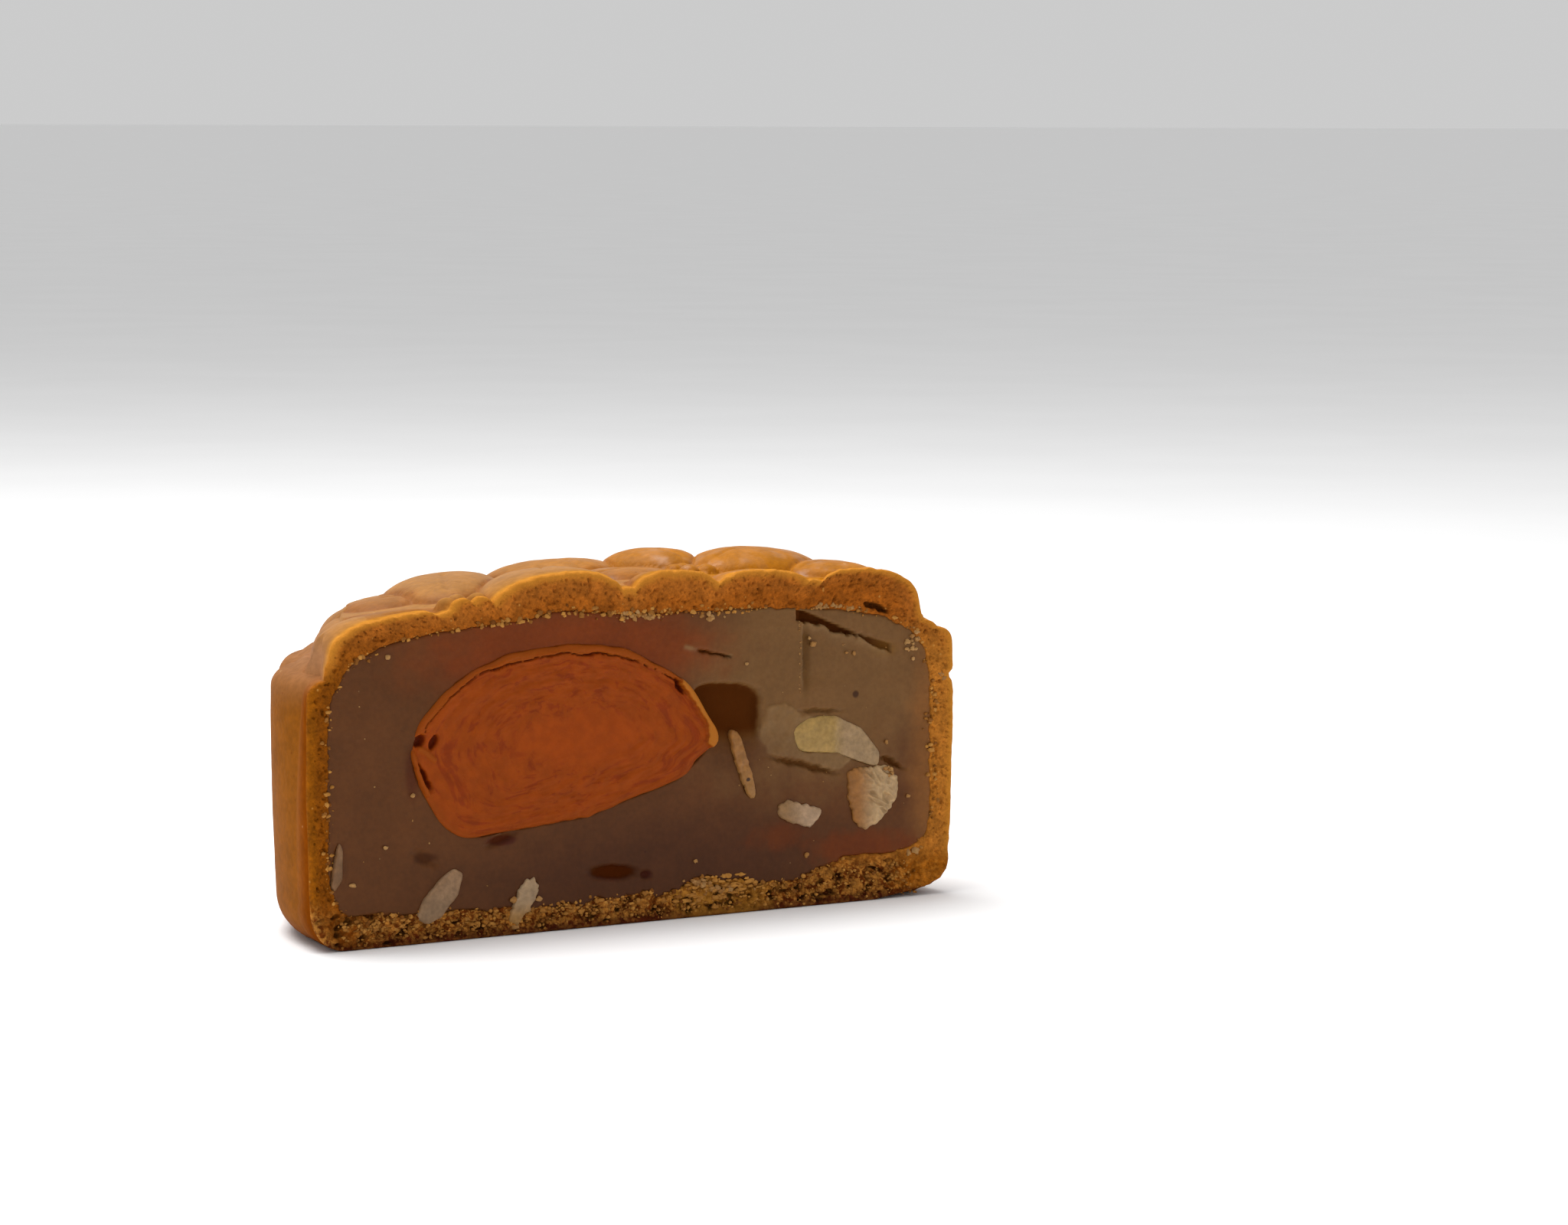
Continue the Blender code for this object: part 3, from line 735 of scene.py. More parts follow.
def crust_cut_mesh():
    """The crust's cut: a band between the outline and the paste, with its open crumb."""
    outline = cut_outline()
    middle = Vector((0, 0, PASTE_MIDDLE))
    bm = bmesh.new()
    edges = bm.verts.layers.float.new("edge")
    deeps = bm.verts.layers.float.new("deep")
    bmesh.ops.create_grid(bm, x_segments=BAND_STEPS, y_segments=BAND_ROWS, size=1.0)
    spokes = []
    for point in outline:
        away = Vector((point.x, 0, point.z)) - middle
        direction = away.normalized()
        reach = ragged_reach(math.atan2(direction.z, direction.x)) - 0.1
        spokes.append((direction, away.length, reach))
    for vertex in bm.verts:
        step = round((vertex.co.x + 1) / 2 * BAND_STEPS)
        row = round((vertex.co.y + 1) / 2 * BAND_ROWS)
        direction, outer, inner = spokes[step]
        if row <= BAND_ROUND_ROWS:
            turn = math.pi / 2 * row / BAND_ROUND_ROWS
            inset = EDGE_ROUND * (1 - math.cos(turn))
            place = outline[step] - direction * inset
            depth = EDGE_ROUND * (1 - math.sin(turn))
            share = row / BAND_ROUND_ROWS
        else:
            part = (row - BAND_ROUND_ROWS) / (BAND_ROWS - BAND_ROUND_ROWS)
            inset = EDGE_ROUND + (outer - inner - EDGE_ROUND) * part
            place = outline[step] - direction * inset
            depth = 0.35 * smooth_between(0.9, 1.0, part)
            share = 1.0
        crumb = crumb_depth(place.x, place.z) * smooth_between(0.1, 0.9, inset) * share
        vertex.co = (place.x, depth + crumb, place.z)
        vertex[edges] = inset
        vertex[deeps] = crumb
    bmesh.ops.remove_doubles(bm, verts=bm.verts, dist=0.0005)
    return bm


# Lotus paste


def square_disc(bm, columns, rows, middle, aspect, reach_at):
    """A grid drawn out from its middle so that its border lies on a rounded outline.

    Gives how far out each vertex lies, from 0 in the middle to 1 on the border.
    """
    bmesh.ops.create_grid(bm, x_segments=columns, y_segments=rows, size=1.0)
    reaches = {}
    shares = {}
    for vertex in bm.verts:
        square = max(abs(vertex.co.x), abs(vertex.co.y))
        angle = math.atan2(vertex.co.y * aspect[1], vertex.co.x * aspect[0])
        key = round(angle, 4)
        if key not in reaches:
            reaches[key] = reach_at(angle)
        reach = square * reaches[key]
        vertex.co = (middle[0] + reach * math.cos(angle), 0.0, middle[1] + reach * math.sin(angle))
        shares[vertex] = square
    return shares


def close_behind(bm, rings, place):
    """Carries the border of an open face back in rings and closes the last one."""
    border = [edge for edge in bm.edges if edge.is_boundary]
    starts = {vertex.co.to_tuple(6): vertex.co.copy() for edge in border for vertex in edge.verts}
    for ring in range(1, rings + 1):
        made = bmesh.ops.extrude_edge_only(bm, edges=border)["geom"]
        border = [item for item in made if isinstance(item, bmesh.types.BMEdge) and item.is_boundary]
        carried = {}
        for vertex in {vertex for edge in border for vertex in edge.verts}:
            start = starts[vertex.co.to_tuple(6)]
            vertex.co = place(start, ring / rings)
            carried[vertex.co.to_tuple(6)] = start
        starts = carried
    bmesh.ops.holes_fill(bm, edges=border, sides=0)


def crack_relief(x, z, jagged):
    """The long open crack: how deep it is at a place, and how torn its lip is."""
    start, end = CRACK_ROOF[0][0], CRACK_ROOF[-1][0]
    if not (start < x < end and 26 < z < 34):
        return 0.0, 0.0
    lip_height = line_height(x + 0.5 * jagged, CRACK_LIP) + 0.6 * jagged
    opened = min(line_height(x, CRACK_ROOF) - z, z - lip_height, x - start, 0.6 * (end - x))
    crack = smooth_between(-0.05, 0.15, opened)
    ends = smooth_between(start, start + 0.8, x) * smooth_between(end, end - 1.5, x)
    lip = math.exp(-max(0.0, lip_height - z) / 0.45) * (z < lip_height) * ends
    return (0.9 - 0.45 * smooth_between(26.0, 31.0, x)) * crack - 0.2 * lip, 0.85 * lip


def knife_relief(x, z, jagged):
    """The step that the knife left, and how torn the ridge beside it is."""
    away, along, side = beside_line(x + 0.15 * jagged, z, KNIFE_STEP)
    if away >= 8 or along >= 1:
        return 0.0, 0.0
    fade = smooth_between(1.0, 0.8, along)
    beyond = away * side
    depth = 0.26 * smooth_between(-0.05, 0.12, beyond) * math.exp(-max(0.0, beyond) / 2.5) * fade
    depth -= 0.1 * math.exp(-(((beyond + 0.15) / 0.2) ** 2)) * fade
    return depth, 0.5 * math.exp(-(((beyond + 0.12) / 0.15) ** 2)) * fade


def tear_relief(x, z, jagged):
    """The short tear, and how torn the paste is at its two ends."""
    away, along, _ = beside_line(x, z + 0.3 * jagged, SHORT_TEAR)
    if away >= 1.5:
        return 0.0, 0.0
    ends = smooth_between(0.3, 0.1, along) + smooth_between(0.85, 1.0, along)
    ends *= 0.75 * math.exp(-((away / 0.22) ** 2))
    gap = smooth_between(0.22, 0.05, away) * smooth_between(0.2, 0.4, along)
    return 0.7 * gap - 0.12 * ends, min(1.0, ends)


def sheet_relief(x, z, jagged, sheet):
    """The raised sheet of paste round the crescent seed, and how torn it is."""
    middle, reaches = sheet
    east, rise = x - middle[0], z - middle[1]
    inside = reach_towards(reaches, math.atan2(rise, east)) - math.hypot(east, rise) + 0.7 * jagged
    raised = smooth_between(-0.15, 0.3, inside)
    torn = raised * (0.45 + 0.25 * smooth_between(16.0, 24.0, x) + 0.5 * jagged)
    return -(0.18 * raised + 0.1 * raised * ripple(x, 6, z, 1.2)), torn


def paste_relief(x, z, sheet):
    """Depth of the paste's cut face behind its level, and how torn it is."""
    jagged = 0.4 * ripple(x, 0, z, 1.1) + 0.22 * ripple(x, 1, z, 0.45)
    depth = 0.06 * ripple(x, 0, z, 7.0) + 0.015 * ripple(x * 2.5, 0, z * 0.6, 1.2)
    depth += 0.01 * ripple(x, 3, z, 0.5)
    for name, dent in PASTE_DENTS.items():
        shift = (0.5 if name.startswith("gap") else 0.25) * jagged
        depth += dent_depth(x + shift, z + shift, dent)
    hollow = dent_depth(x + 0.4 * jagged, z + 0.3 * jagged, HOLLOW, HOLLOW_SQUARENESS)
    depth += hollow * smooth_between(17.6, 22.0, z)
    marks = [mark(x, z, jagged) for mark in (crack_relief, knife_relief, tear_relief)]
    marks.append(sheet_relief(x, z, jagged, sheet))
    return depth + sum(mark[0] for mark in marks), max(0.0, *(mark[1] for mark in marks))


def inside_pieces(x, z, pieces):
    """How far inside the nearest set-in piece a place lies, or less than 0 outside them all."""
    deepest = -1.0
    for middle, reaches in pieces:
        east, rise = x - middle[0], z - middle[1]
        away = math.hypot(east, rise)
        if away < max(reaches):
            deepest = max(deepest, reach_towards(reaches, math.atan2(rise, east)) - away)
    return deepest


def paste_mesh():
    """The paste block, with the marks of the knife on its cut face, and sunk behind what is set in it."""
    half_height = (PASTE_ROOF - PASTE_FLOOR) / 2
    pieces = [(YOLK_MIDDLE, rounded_reaches(YOLK_OUTLINE, YOLK_MIDDLE))]
    for _, points in SEEDS.values():
        middle = outline_middle(points)
        pieces.append((middle, rounded_reaches(points, middle, spread=1)))
    sheet_middle = outline_middle(TORN_SHEET)
    sheet = (sheet_middle, rounded_reaches(TORN_SHEET, sheet_middle))
    bm = bmesh.new()
    torns = bm.verts.layers.float.new("torn")
    deeps = bm.verts.layers.float.new("deep")

    def tucked_reach(angle):
        return ragged_reach(angle) + PASTE_TUCK

    aspect = (PASTE_HALF_LEFT, half_height)
    shares = square_disc(bm, PASTE_COLUMNS, PASTE_ROWS, (0.0, PASTE_MIDDLE), aspect, tucked_reach)
    for vertex in bm.verts:
        share = shares[vertex]
        from_middle = math.hypot(vertex.co.x, vertex.co.z - PASTE_MIDDLE)
        inset = from_middle / share - from_middle if share > 0.5 else PASTE_HALF_LEFT
        depth, torn = paste_relief(vertex.co.x, vertex.co.z, sheet)
        sunk = smooth_between(0.15, 0.6, inside_pieces(vertex.co.x, vertex.co.z, pieces))
        depth = depth * (1 - sunk) + SET_IN_SINK * sunk
        vertex.co.y = PASTE_LEVEL + depth + smooth_between(PASTE_TUCK, 0.0, inset)
        vertex[torns] = torn
        vertex[deeps] = depth

    def place(start, share):
        turn = math.radians(PASTE_BACK_TURN) * share
        half_width = PASTE_HALF_RIGHT if start.x > 0 else PASTE_HALF_LEFT
        upper = (start.z - PASTE_FLOOR) / (PASTE_ROOF - PASTE_FLOOR)
        inward = PASTE_BACK_GAP + PASTE_FLUTES * upper * scallop(turn if start.x > 0 else math.pi - turn)
        x = start.x * (1 - min(1.0, 10 * share) * inward / half_width)
        behind = start.y + PASTE_HALF_RIGHT * abs(x) / half_width * math.sin(turn)
        return Vector((x * math.cos(turn), behind, start.z))

    close_behind(bm, PASTE_BACK_RINGS, place)
    return bm


# Egg yolk


def yolk_relief(x, z, inset, angle, share):
    """Depth of the yolk's cut face behind its level, and how far it is skin rather than flesh."""
    jagged = 0.3 * ripple(x, 0, z, 1.0) + 0.15 * ripple(x, 1, z, 0.4)
    fibres = ripple(2.5 * math.cos(angle), 12 * share, 2.5 * math.sin(angle), 1.0)
    fine_fibres = ripple(7 * math.cos(angle), 30 * share, 7 * math.sin(angle), 1.0)
    depth = (0.17 * fibres + 0.08 * fine_fibres) * smooth_between(0.3, 0.6, share)
    depth += 0.05 * ripple(x, 0, z, 2.5)
    over_top = smooth_between(0.15, 0.4, angle) * smooth_between(3.2, 2.9, angle)
    line = YOLK_RIM + 0.45 * ripple(math.cos(angle) * 3, 0, math.sin(angle) * 3, 1.0) + 0.5 * jagged
    width = 0.12 + 0.14 * ripple(x, 4, z, 2.5)
    crack = smooth_between(width, 0.3 * width, abs(inset - line)) * over_top if width > 0.02 else 0.0
    rim = smooth_between(line + 0.2, line - 0.2, inset) * over_top
    depth += 0.55 * crack - 0.12 * rim
    for dent in YOLK_DENTS.values():
        depth += dent_depth(x + 0.6 * jagged, z + 0.6 * jagged, dent)
    away, along, _ = beside_line(x + 0.9 * jagged, z, YOLK_FLAP)
    flap = smooth_between(0.55 + 0.5 * along, 0.3 + 0.5 * along, away)
    depth = depth * (1 - flap) - 0.5 * flap
    loose = smooth_between(0.4, 0.15, beside_line(x + 0.4 * jagged, z, YOLK_SKIN)[0])
    loose = max(loose, smooth_between(0.45, 0.15, beside_line(x, z + 0.5 * jagged, YOLK_BRIDGE)[0]))
    depth = depth * (1 - loose) - 0.25 * loose
    return depth, max(rim, 1.6 * flap, loose)


def yolk_mesh():
    """The half yolk, with its skin, cracks and torn ends."""
    bm = bmesh.new()
    skins = bm.verts.layers.float.new("skin")
    deeps = bm.verts.layers.float.new("deep")
    insets = bm.verts.layers.float.new("inset")
    turns = bm.verts.layers.float_vector.new("round")
    outline = rounded_reaches(YOLK_OUTLINE, YOLK_MIDDLE, steps=240)

    def yolk_reach(angle):
        return reach_towards(outline, angle) + 0.15 * ripple(math.cos(angle), 0, math.sin(angle), 0.15)

    aspect = (YOLK_HALF[0], YOLK_HALF[2])
    shares = square_disc(bm, YOLK_COLUMNS, YOLK_ROWS, YOLK_MIDDLE, aspect, yolk_reach)
    for vertex in bm.verts:
        x, z = vertex.co.x, vertex.co.z
        angle = math.atan2(z - YOLK_MIDDLE[1], x - YOLK_MIDDLE[0])
        reach = math.hypot(x - YOLK_MIDDLE[0], z - YOLK_MIDDLE[1])
        share = shares[vertex]
        inset = reach / share - reach if share > 0.3 else 9.0
        depth, skin = yolk_relief(x, z, inset, angle, share)
        rounding = max(0.0, 1 - inset / YOLK_ROUND)
        vertex.co.y = YOLK_LEVEL + depth + YOLK_ROUND * (1 - math.sqrt(max(0.0, 1 - rounding**2)))
        vertex[skins] = skin
        vertex[deeps] = depth
        vertex[insets] = inset
        vertex[turns] = (2 * math.cos(angle), 7 * share, 2 * math.sin(angle))

    def place(start, share):
        turn = math.radians(YOLK_BACK_TURN) * share
        middle = Vector((YOLK_MIDDLE[0], BACK_LEVEL, YOLK_MIDDLE[1]))
        out = Vector((start.x, BACK_LEVEL, start.z)) - middle
        return middle + out * math.cos(turn) + Vector((0, YOLK_HALF[1] * math.sin(turn), 0))

    close_behind(bm, YOLK_BACK_RINGS, place)
    return bm


# Seeds


def seed_relief(name, x, z):
    """Unevenness of a seed's cut face."""
    plain = 0.06 * ripple(x, 0, z, 1.5) + 0.02 * ripple(x, 0, z, 0.5)
    if name == "seed_broken":
        torn = smooth_between(27.4, 28.6, x + 0.3 * (z - 12))
        ridges = abs(ripple((x - z) * 0.45, 0, (x + z) * 1.3, 1.0))
        return plain + torn * (0.9 * ridges - 0.35) - 0.1 * (1 - torn)
    if name == "seed_crescent":
        return plain + 0.18 * smooth_between(23.8, 24.6, x + 0.2 * ripple(x, 0, z, 0.8))
    if name in ("seed_ragged", "seed_sliver"):
        return plain + 0.15 * ripple(x, 3, z, 0.7)
    return plain


def seed_mesh(name):
    """One seed: a flat cut face with rounded edges, and a rounded back in the paste."""
    depth, points = SEEDS[name]
    middle = outline_middle(points)
    reaches = rounded_reaches(points, middle, spread=1)
    bm = bmesh.new()
    bmesh.ops.create_icosphere(bm, subdivisions=6, radius=1.0)
    for vertex in bm.verts:
        angle = math.atan2(vertex.co.z, vertex.co.x)
        share = min(1.0, math.hypot(vertex.co.x, vertex.co.z))
        reach = reach_towards(reaches, angle)
        rag = RAGGED_SEEDS.get(name, 0.04) * share**4
        reach = reach * share + rag * ripple(reach * math.cos(angle), 2, reach * math.sin(angle), 0.55)
        x = middle[0] + reach * math.cos(angle)
        z = middle[1] + reach * math.sin(angle)
        if vertex.co.y < 0:
            flat = 1 - share**5
            y = BACK_LEVEL + (SEED_LEVEL - BACK_LEVEL) * flat**0.25 + seed_relief(name, x, z) * flat
        else:
            y = BACK_LEVEL + depth * vertex.co.y
        rough = 0.06 * ripple(x, y, z, 0.9)
        vertex.co = (x + rough, y + rough, z - rough)
    return bm


# Crumbs


def add_crumb(bm, tones, dice, x, level, z, size, detail=1, length=1.0, tone=None):
    """One loose crumb, pushed out of round."""
    made = bmesh.ops.create_icosphere(bm, subdivisions=detail, radius=size)
    tone = dice.random() if tone is None else tone
    stretch = Vector((length * dice.uniform(0.8, 1.35), dice.uniform(0.7, 1.0), dice.uniform(0.7, 1.1)))
    for vertex in made["verts"]:
        lumpy = 1 + 0.7 * ripple(vertex.co.x + 9 * x, vertex.co.y, vertex.co.z + 9 * z, 0.8 * size)
        shape = Vector((vertex.co.x * stretch.x, vertex.co.y * stretch.y, vertex.co.z * stretch.z))
        vertex.co = shape * lumpy + Vector((x, level, z))
        vertex[tones] = tone


def add_edge_crumbs(bm, tones, dice, count, start, end, drift, spread):
    """Small crumbs along a stretch of the border between crust and paste, in half turns."""
    for _ in range(count):
        angle = dice.uniform(start * math.pi, end * math.pi)
        reach = ragged_reach(angle) + dice.gauss(drift, spread)
        x, z = reach * math.cos(angle), PASTE_MIDDLE + reach * math.sin(angle)
        size = 0.07 + 0.24 * dice.random() ** 2
        add_crumb(bm, tones, dice, x, dice.uniform(0.0, 0.15), z, size, 2 if size > 0.15 else 1)


def crust_crumbs_mesh():
    """Golden crumbs of crust: a coarse bed along the bottom, and a fringe along the paste's edge."""
    dice = random.Random(17)
    bm = bmesh.new()
    tones = bm.verts.layers.float.new("tone")
    for _ in range(BED_CRUMBS):
        x = dice.uniform(-36.5, 35.0)
        z = dice.uniform(0.3, 3.0 + (1.6 * (x / 36) ** 2 if x > 0 else 0))
        add_crumb(bm, tones, dice, x, dice.uniform(0.08, 0.35), z, dice.uniform(0.08, 0.25))
    for _ in range(GOLDEN_FLAKES):
        x = dice.gauss(9.5, 2.8)
        z = min(4.3, max(0.9, dice.gauss(2.8, 0.8)))
        tone = dice.uniform(0.6, 1.0)
        add_crumb(bm, tones, dice, x, dice.uniform(0.0, 0.15), z, dice.uniform(0.1, 0.27), 2, 1.9, tone)
    for _ in range(LEFT_CRUMBS):
        x = dice.uniform(-36.0, -3.0)
        z = max(0.8, dice.gauss(2.3, 0.5))
        tone = dice.uniform(0.3, 0.9)
        add_crumb(bm, tones, dice, x, dice.uniform(0.05, 0.25), z, dice.uniform(0.1, 0.24), 2, 1.1, tone)
    for fringe in CRUMB_FRINGES:
        add_edge_crumbs(bm, tones, dice, *fringe)
    return bm


def pale_crumbs_mesh():
    """Pale bits of paste and flour on the cut."""
    dice = random.Random(5)
    bm = bmesh.new()
    tones = bm.verts.layers.float.new("tone")
    for x, z, size in LONE_CRUMBS:
        add_crumb(bm, tones, dice, x, 0.0, z, size, 2)
    for middle_x, middle_z, spread_x, spread_z, count, level in CRUMB_CLUSTERS:
        for _ in range(count):
            x, z = dice.gauss(middle_x, spread_x), dice.gauss(middle_z, spread_z)
            add_crumb(bm, tones, dice, x, level + dice.uniform(-0.08, 0.08), z, dice.uniform(0.12, 0.32), 2)
    for _ in range(KNIFE_CRUMBS):
        x, z = dice.gauss(KNIFE_STEP[0][0] - 0.35, 0.1), dice.uniform(23.4, 32.2)
        add_crumb(bm, tones, dice, x, 0.08, z, dice.uniform(0.05, 0.12))
    for _ in range(SCATTERED_CRUMBS):
        x, z = dice.uniform(-34, 34), dice.uniform(5.5, 31)
        east, rise = x - YOLK_MIDDLE[0], z - YOLK_MIDDLE[1]
        if math.hypot(east / YOLK_SURROUND[0], rise / YOLK_SURROUND[1]) > 1.05:
            add_crumb(bm, tones, dice, x, 0.1, z, dice.uniform(0.05, 0.11))
    return bm


# Shader helpers


def seen(red, green, blue, side):
    """The base colour that is seen as the given colour, of 0 to 255, on one side of the half."""
    light, sheen = side
    linear = []
    for value in (red, green, blue):
        value /= 255
        value = value / 12.92 if value <= 0.04045 else ((value + 0.055) / 1.055) ** 2.4
        linear.append(min(1.0, max(0.002, (value - sheen) / light)))
    return (*linear, 1.0)


def feed(tree, socket, value):
    """Links an output into a socket, or sets the socket's own value."""
    if isinstance(value, bpy.types.NodeSocket):
        tree.links.new(value, socket)
    else:
        socket.default_value = value


def add(tree, kind, settings=None, **inputs):
    """Adds a node, sets its options and feeds its named inputs."""
    node = tree.nodes.new("ShaderNode" + kind)
    for option, value in (settings or {}).items():
        setattr(node, option, value)
    for name, value in inputs.items():
        feed(tree, node.inputs[name.replace("_", " ")], value)
    return node


def maths(tree, operation, first, second=0.0):
    node = tree.nodes.new("ShaderNodeMath")
    node.operation = operation
    feed(tree, node.inputs[0], first)
    feed(tree, node.inputs[1], second)
    return node.outputs[0]


def blend(tree, share, first, second, kind="MIX"):
    """Mixes two colours."""
    node = tree.nodes.new("ShaderNodeMix")
    node.data_type = "RGBA"
    node.blend_type = kind
    feed(tree, node.inputs[0], share)
    feed(tree, node.inputs[6], first)
    feed(tree, node.inputs[7], second)
    return node.outputs[2]


def between(tree, value, low, high, start=0.0, end=1.0):
    """Spreads a value between low and high out over start to end."""
    ranges = {"From_Min": low, "From_Max": high, "To_Min": start, "To_Max": end}
    node = add(tree, "MapRange", {"interpolation_type": "SMOOTHSTEP"}, Value=value, **ranges)
    return node.outputs["Result"]


def stored(tree, name):
    """A value that the piece's mesh holds."""
    return add(tree, "Attribute", {"attribute_name": name}).outputs["Fac"]


def new_group(name, inputs, outputs):
    """A node group with named sockets: floats with a starting value, and outputs with their kind."""
    group = bpy.data.node_groups.new(name, "ShaderNodeTree")
    for label, value in inputs.items():
        socket = group.interface.new_socket(label, in_out="INPUT", socket_type="NodeSocketFloat")
        socket.default_value = value
    for label, kind in outputs.items():
        group.interface.new_socket(label, in_out="OUTPUT", socket_type="NodeSocket" + kind)
    return group, group.nodes.new("NodeGroupInput").outputs, group.nodes.new("NodeGroupOutput").inputs


def use(tree, group, **inputs):
    """Places a node group with its own values."""
    node = tree.nodes.new("ShaderNodeGroup")
    node.node_tree = group
    for name, value in inputs.items():
        feed(tree, node.inputs[name.replace("_", " ")], value)
    return node.outputs


def place_group():
    """Where a place is in the part, in millimetres."""
    kinds = {"Place": "Vector", "X": "Float", "Behind": "Float", "Z": "Float"}
    group, _, outputs = new_group("place", {}, kinds)
    scaled = add(group, "VectorMath", {"operation": "MULTIPLY"})
    feed(group, scaled.inputs[0], add(group, "TexCoord").outputs["Object"])
    scaled.inputs[1].default_value = (1 / MM, 1 / MM, 1 / MM)
    parts = add(group, "SeparateXYZ", Vector=scaled.outputs[0])
    group.links.new(scaled.outputs[0], outputs["Place"])
    group.links.new(parts.outputs["X"], outputs["X"])
    group.links.new(maths(group, "ADD", parts.outputs["Y"], -CUT_Y), outputs["Behind"])
    group.links.new(parts.outputs["Z"], outputs["Z"])
    return group


def patch_group(place):
    """A soft-edged oval patch on the cut face."""
    group, inputs, outputs = new_group(
        "patch",
        {"Middle X": 0, "Middle Z": 18, "Half X": 5, "Half Z": 5, "Softness": 0.5, "Raggedness": 0.3},
        {"Mask": "Float"},
    )
    here = use(group, place)
    east = maths(group, "DIVIDE", maths(group, "SUBTRACT", here["X"], inputs["Middle X"]), inputs["Half X"])
    rise = maths(group, "DIVIDE", maths(group, "SUBTRACT", here["Z"], inputs["Middle Z"]), inputs["Half Z"])
    squares = [maths(group, "POWER", offset, 2.0) for offset in (east, rise)]
    reach = maths(group, "SQRT", maths(group, "ADD", *squares))
    wander = add(group, "TexNoise", Vector=here["Place"], Scale=0.35, Detail=4.0).outputs[0]
    wander = maths(group, "MULTIPLY", maths(group, "SUBTRACT", wander, 0.5), inputs["Raggedness"])
    reach = maths(group, "ADD", reach, maths(group, "MULTIPLY", wander, 4.0))
    high = maths(group, "ADD", 1.0, inputs["Softness"])
    low = maths(group, "SUBTRACT", 1.0, inputs["Softness"])
    group.links.new(between(group, reach, high, low), outputs["Mask"])
    return group


def mottle_group(place):
    """Uneven shading: a value that wanders round 1."""
    group, inputs, outputs = new_group("mottle", {"Size": 2, "Strength": 0.1, "Seed": 0}, {"Shade": "Float"})
    here = use(group, place)
    scale = maths(group, "DIVIDE", 1.0, inputs["Size"])
    values = {"Vector": here["Place"], "W": inputs["Seed"], "Scale": scale, "Detail": 5.0}
    cloud = add(group, "TexNoise", {"noise_dimensions": "4D"}, **values).outputs[0]
    low = maths(group, "SUBTRACT", 1.0, inputs["Strength"])
    high = maths(group, "ADD", 1.0, inputs["Strength"])
    group.links.new(between(group, cloud, 0.3, 0.7, low, high), outputs["Shade"])
    return group


def specks_group(place):
    """Scattered round specks as a mask."""
    sizes = {"Spacing": 1, "Radius": 0.1, "Share": 0.3}
    group, inputs, outputs = new_group("specks", sizes, {"Mask": "Float"})
    here = use(group, place)
    scale = maths(group, "DIVIDE", 1.0, inputs["Spacing"])
    cells = add(group, "TexVoronoi", Vector=here["Place"], Scale=scale)
    radius = maths(group, "MULTIPLY", inputs["Radius"], scale)
    near = between(group, cells.outputs["Distance"], radius, maths(group, "MULTIPLY", radius, 0.5))
    chance = add(group, "SeparateColor", Color=cells.outputs["Color"]).outputs[0]
    picked = maths(group, "LESS_THAN", chance, inputs["Share"])
    group.links.new(maths(group, "MULTIPLY", near, picked), outputs["Mask"])
    return group


def grain_group(place):
    """Fine grain that only turns the normal."""
    group, inputs, outputs = new_group("grain", {"Size": 0.4, "Height": 0.03}, {"Normal": "Vector"})
    here = use(group, place)
    scale = maths(group, "DIVIDE", 1.0, inputs["Size"])
    cloud = add(group, "TexNoise", Vector=here["Place"], Scale=scale, Detail=6.0, Roughness=0.6)
    distance = maths(group, "MULTIPLY", inputs["Height"], MM)
    bump = add(group, "Bump", Height=cloud.outputs[0], Distance=distance, Strength=1.0)
    group.links.new(bump.outputs["Normal"], outputs["Normal"])
    return group


PLACE = place_group()
PATCH = patch_group(PLACE)
MOTTLE = mottle_group(PLACE)
SPECKS = specks_group(PLACE)
GRAIN = grain_group(PLACE)


def new_material(name, roughness, specular):
    """A material with its node tree and its shader's inputs."""
    material = bpy.data.materials.new(name)
    material.use_nodes = True
    shader = material.node_tree.nodes["Principled BSDF"]
    shader.inputs["Roughness"].default_value = roughness
    shader.inputs["Specular IOR Level"].default_value = specular
    return material, material.node_tree, shader.inputs


def shaded(tree, colour, shade):
    """A colour made lighter or darker by a value."""
    grey = add(tree, "CombineColor", Red=shade, Green=shade, Blue=shade).outputs[0]
    return blend(tree, 1.0, colour, grey, "MULTIPLY")


def mottled(tree, colour, size, strength, seed=0.0):
    """A colour with soft uneven shading."""
    return shaded(tree, colour, use(tree, MOTTLE, Size=size, Strength=strength, Seed=seed)["Shade"])


def tinted(tree, colour, mask, strength, tint):
    """A colour drawn towards a tint where a mask says so."""
    return blend(tree, maths(tree, "MULTIPLY", mask, strength), colour, tint)


def both(tree, first, second):
    """Where two masks meet."""
    return maths(tree, "MULTIPLY", first, second)


def patch(tree, middle_x, middle_z, half_x, half_z, softness, raggedness):
    """The mask of a soft oval patch on the cut face."""
    sizes = {"Middle_X": middle_x, "Middle_Z": middle_z, "Half_X": half_x, "Half_Z": half_z}
    return use(tree, PATCH, **sizes, Softness=softness, Raggedness=raggedness)["Mask"]


def specks(tree, spacing, radius, share):
    return use(tree, SPECKS, Spacing=spacing, Radius=radius, Share=share)["Mask"]


def waxy(shader, weight, radius, scale):
    """Lets light into the surface."""
    shader["Subsurface Weight"].default_value = weight
    shader["Subsurface Radius"].default_value = radius
    shader["Subsurface Scale"].default_value = scale


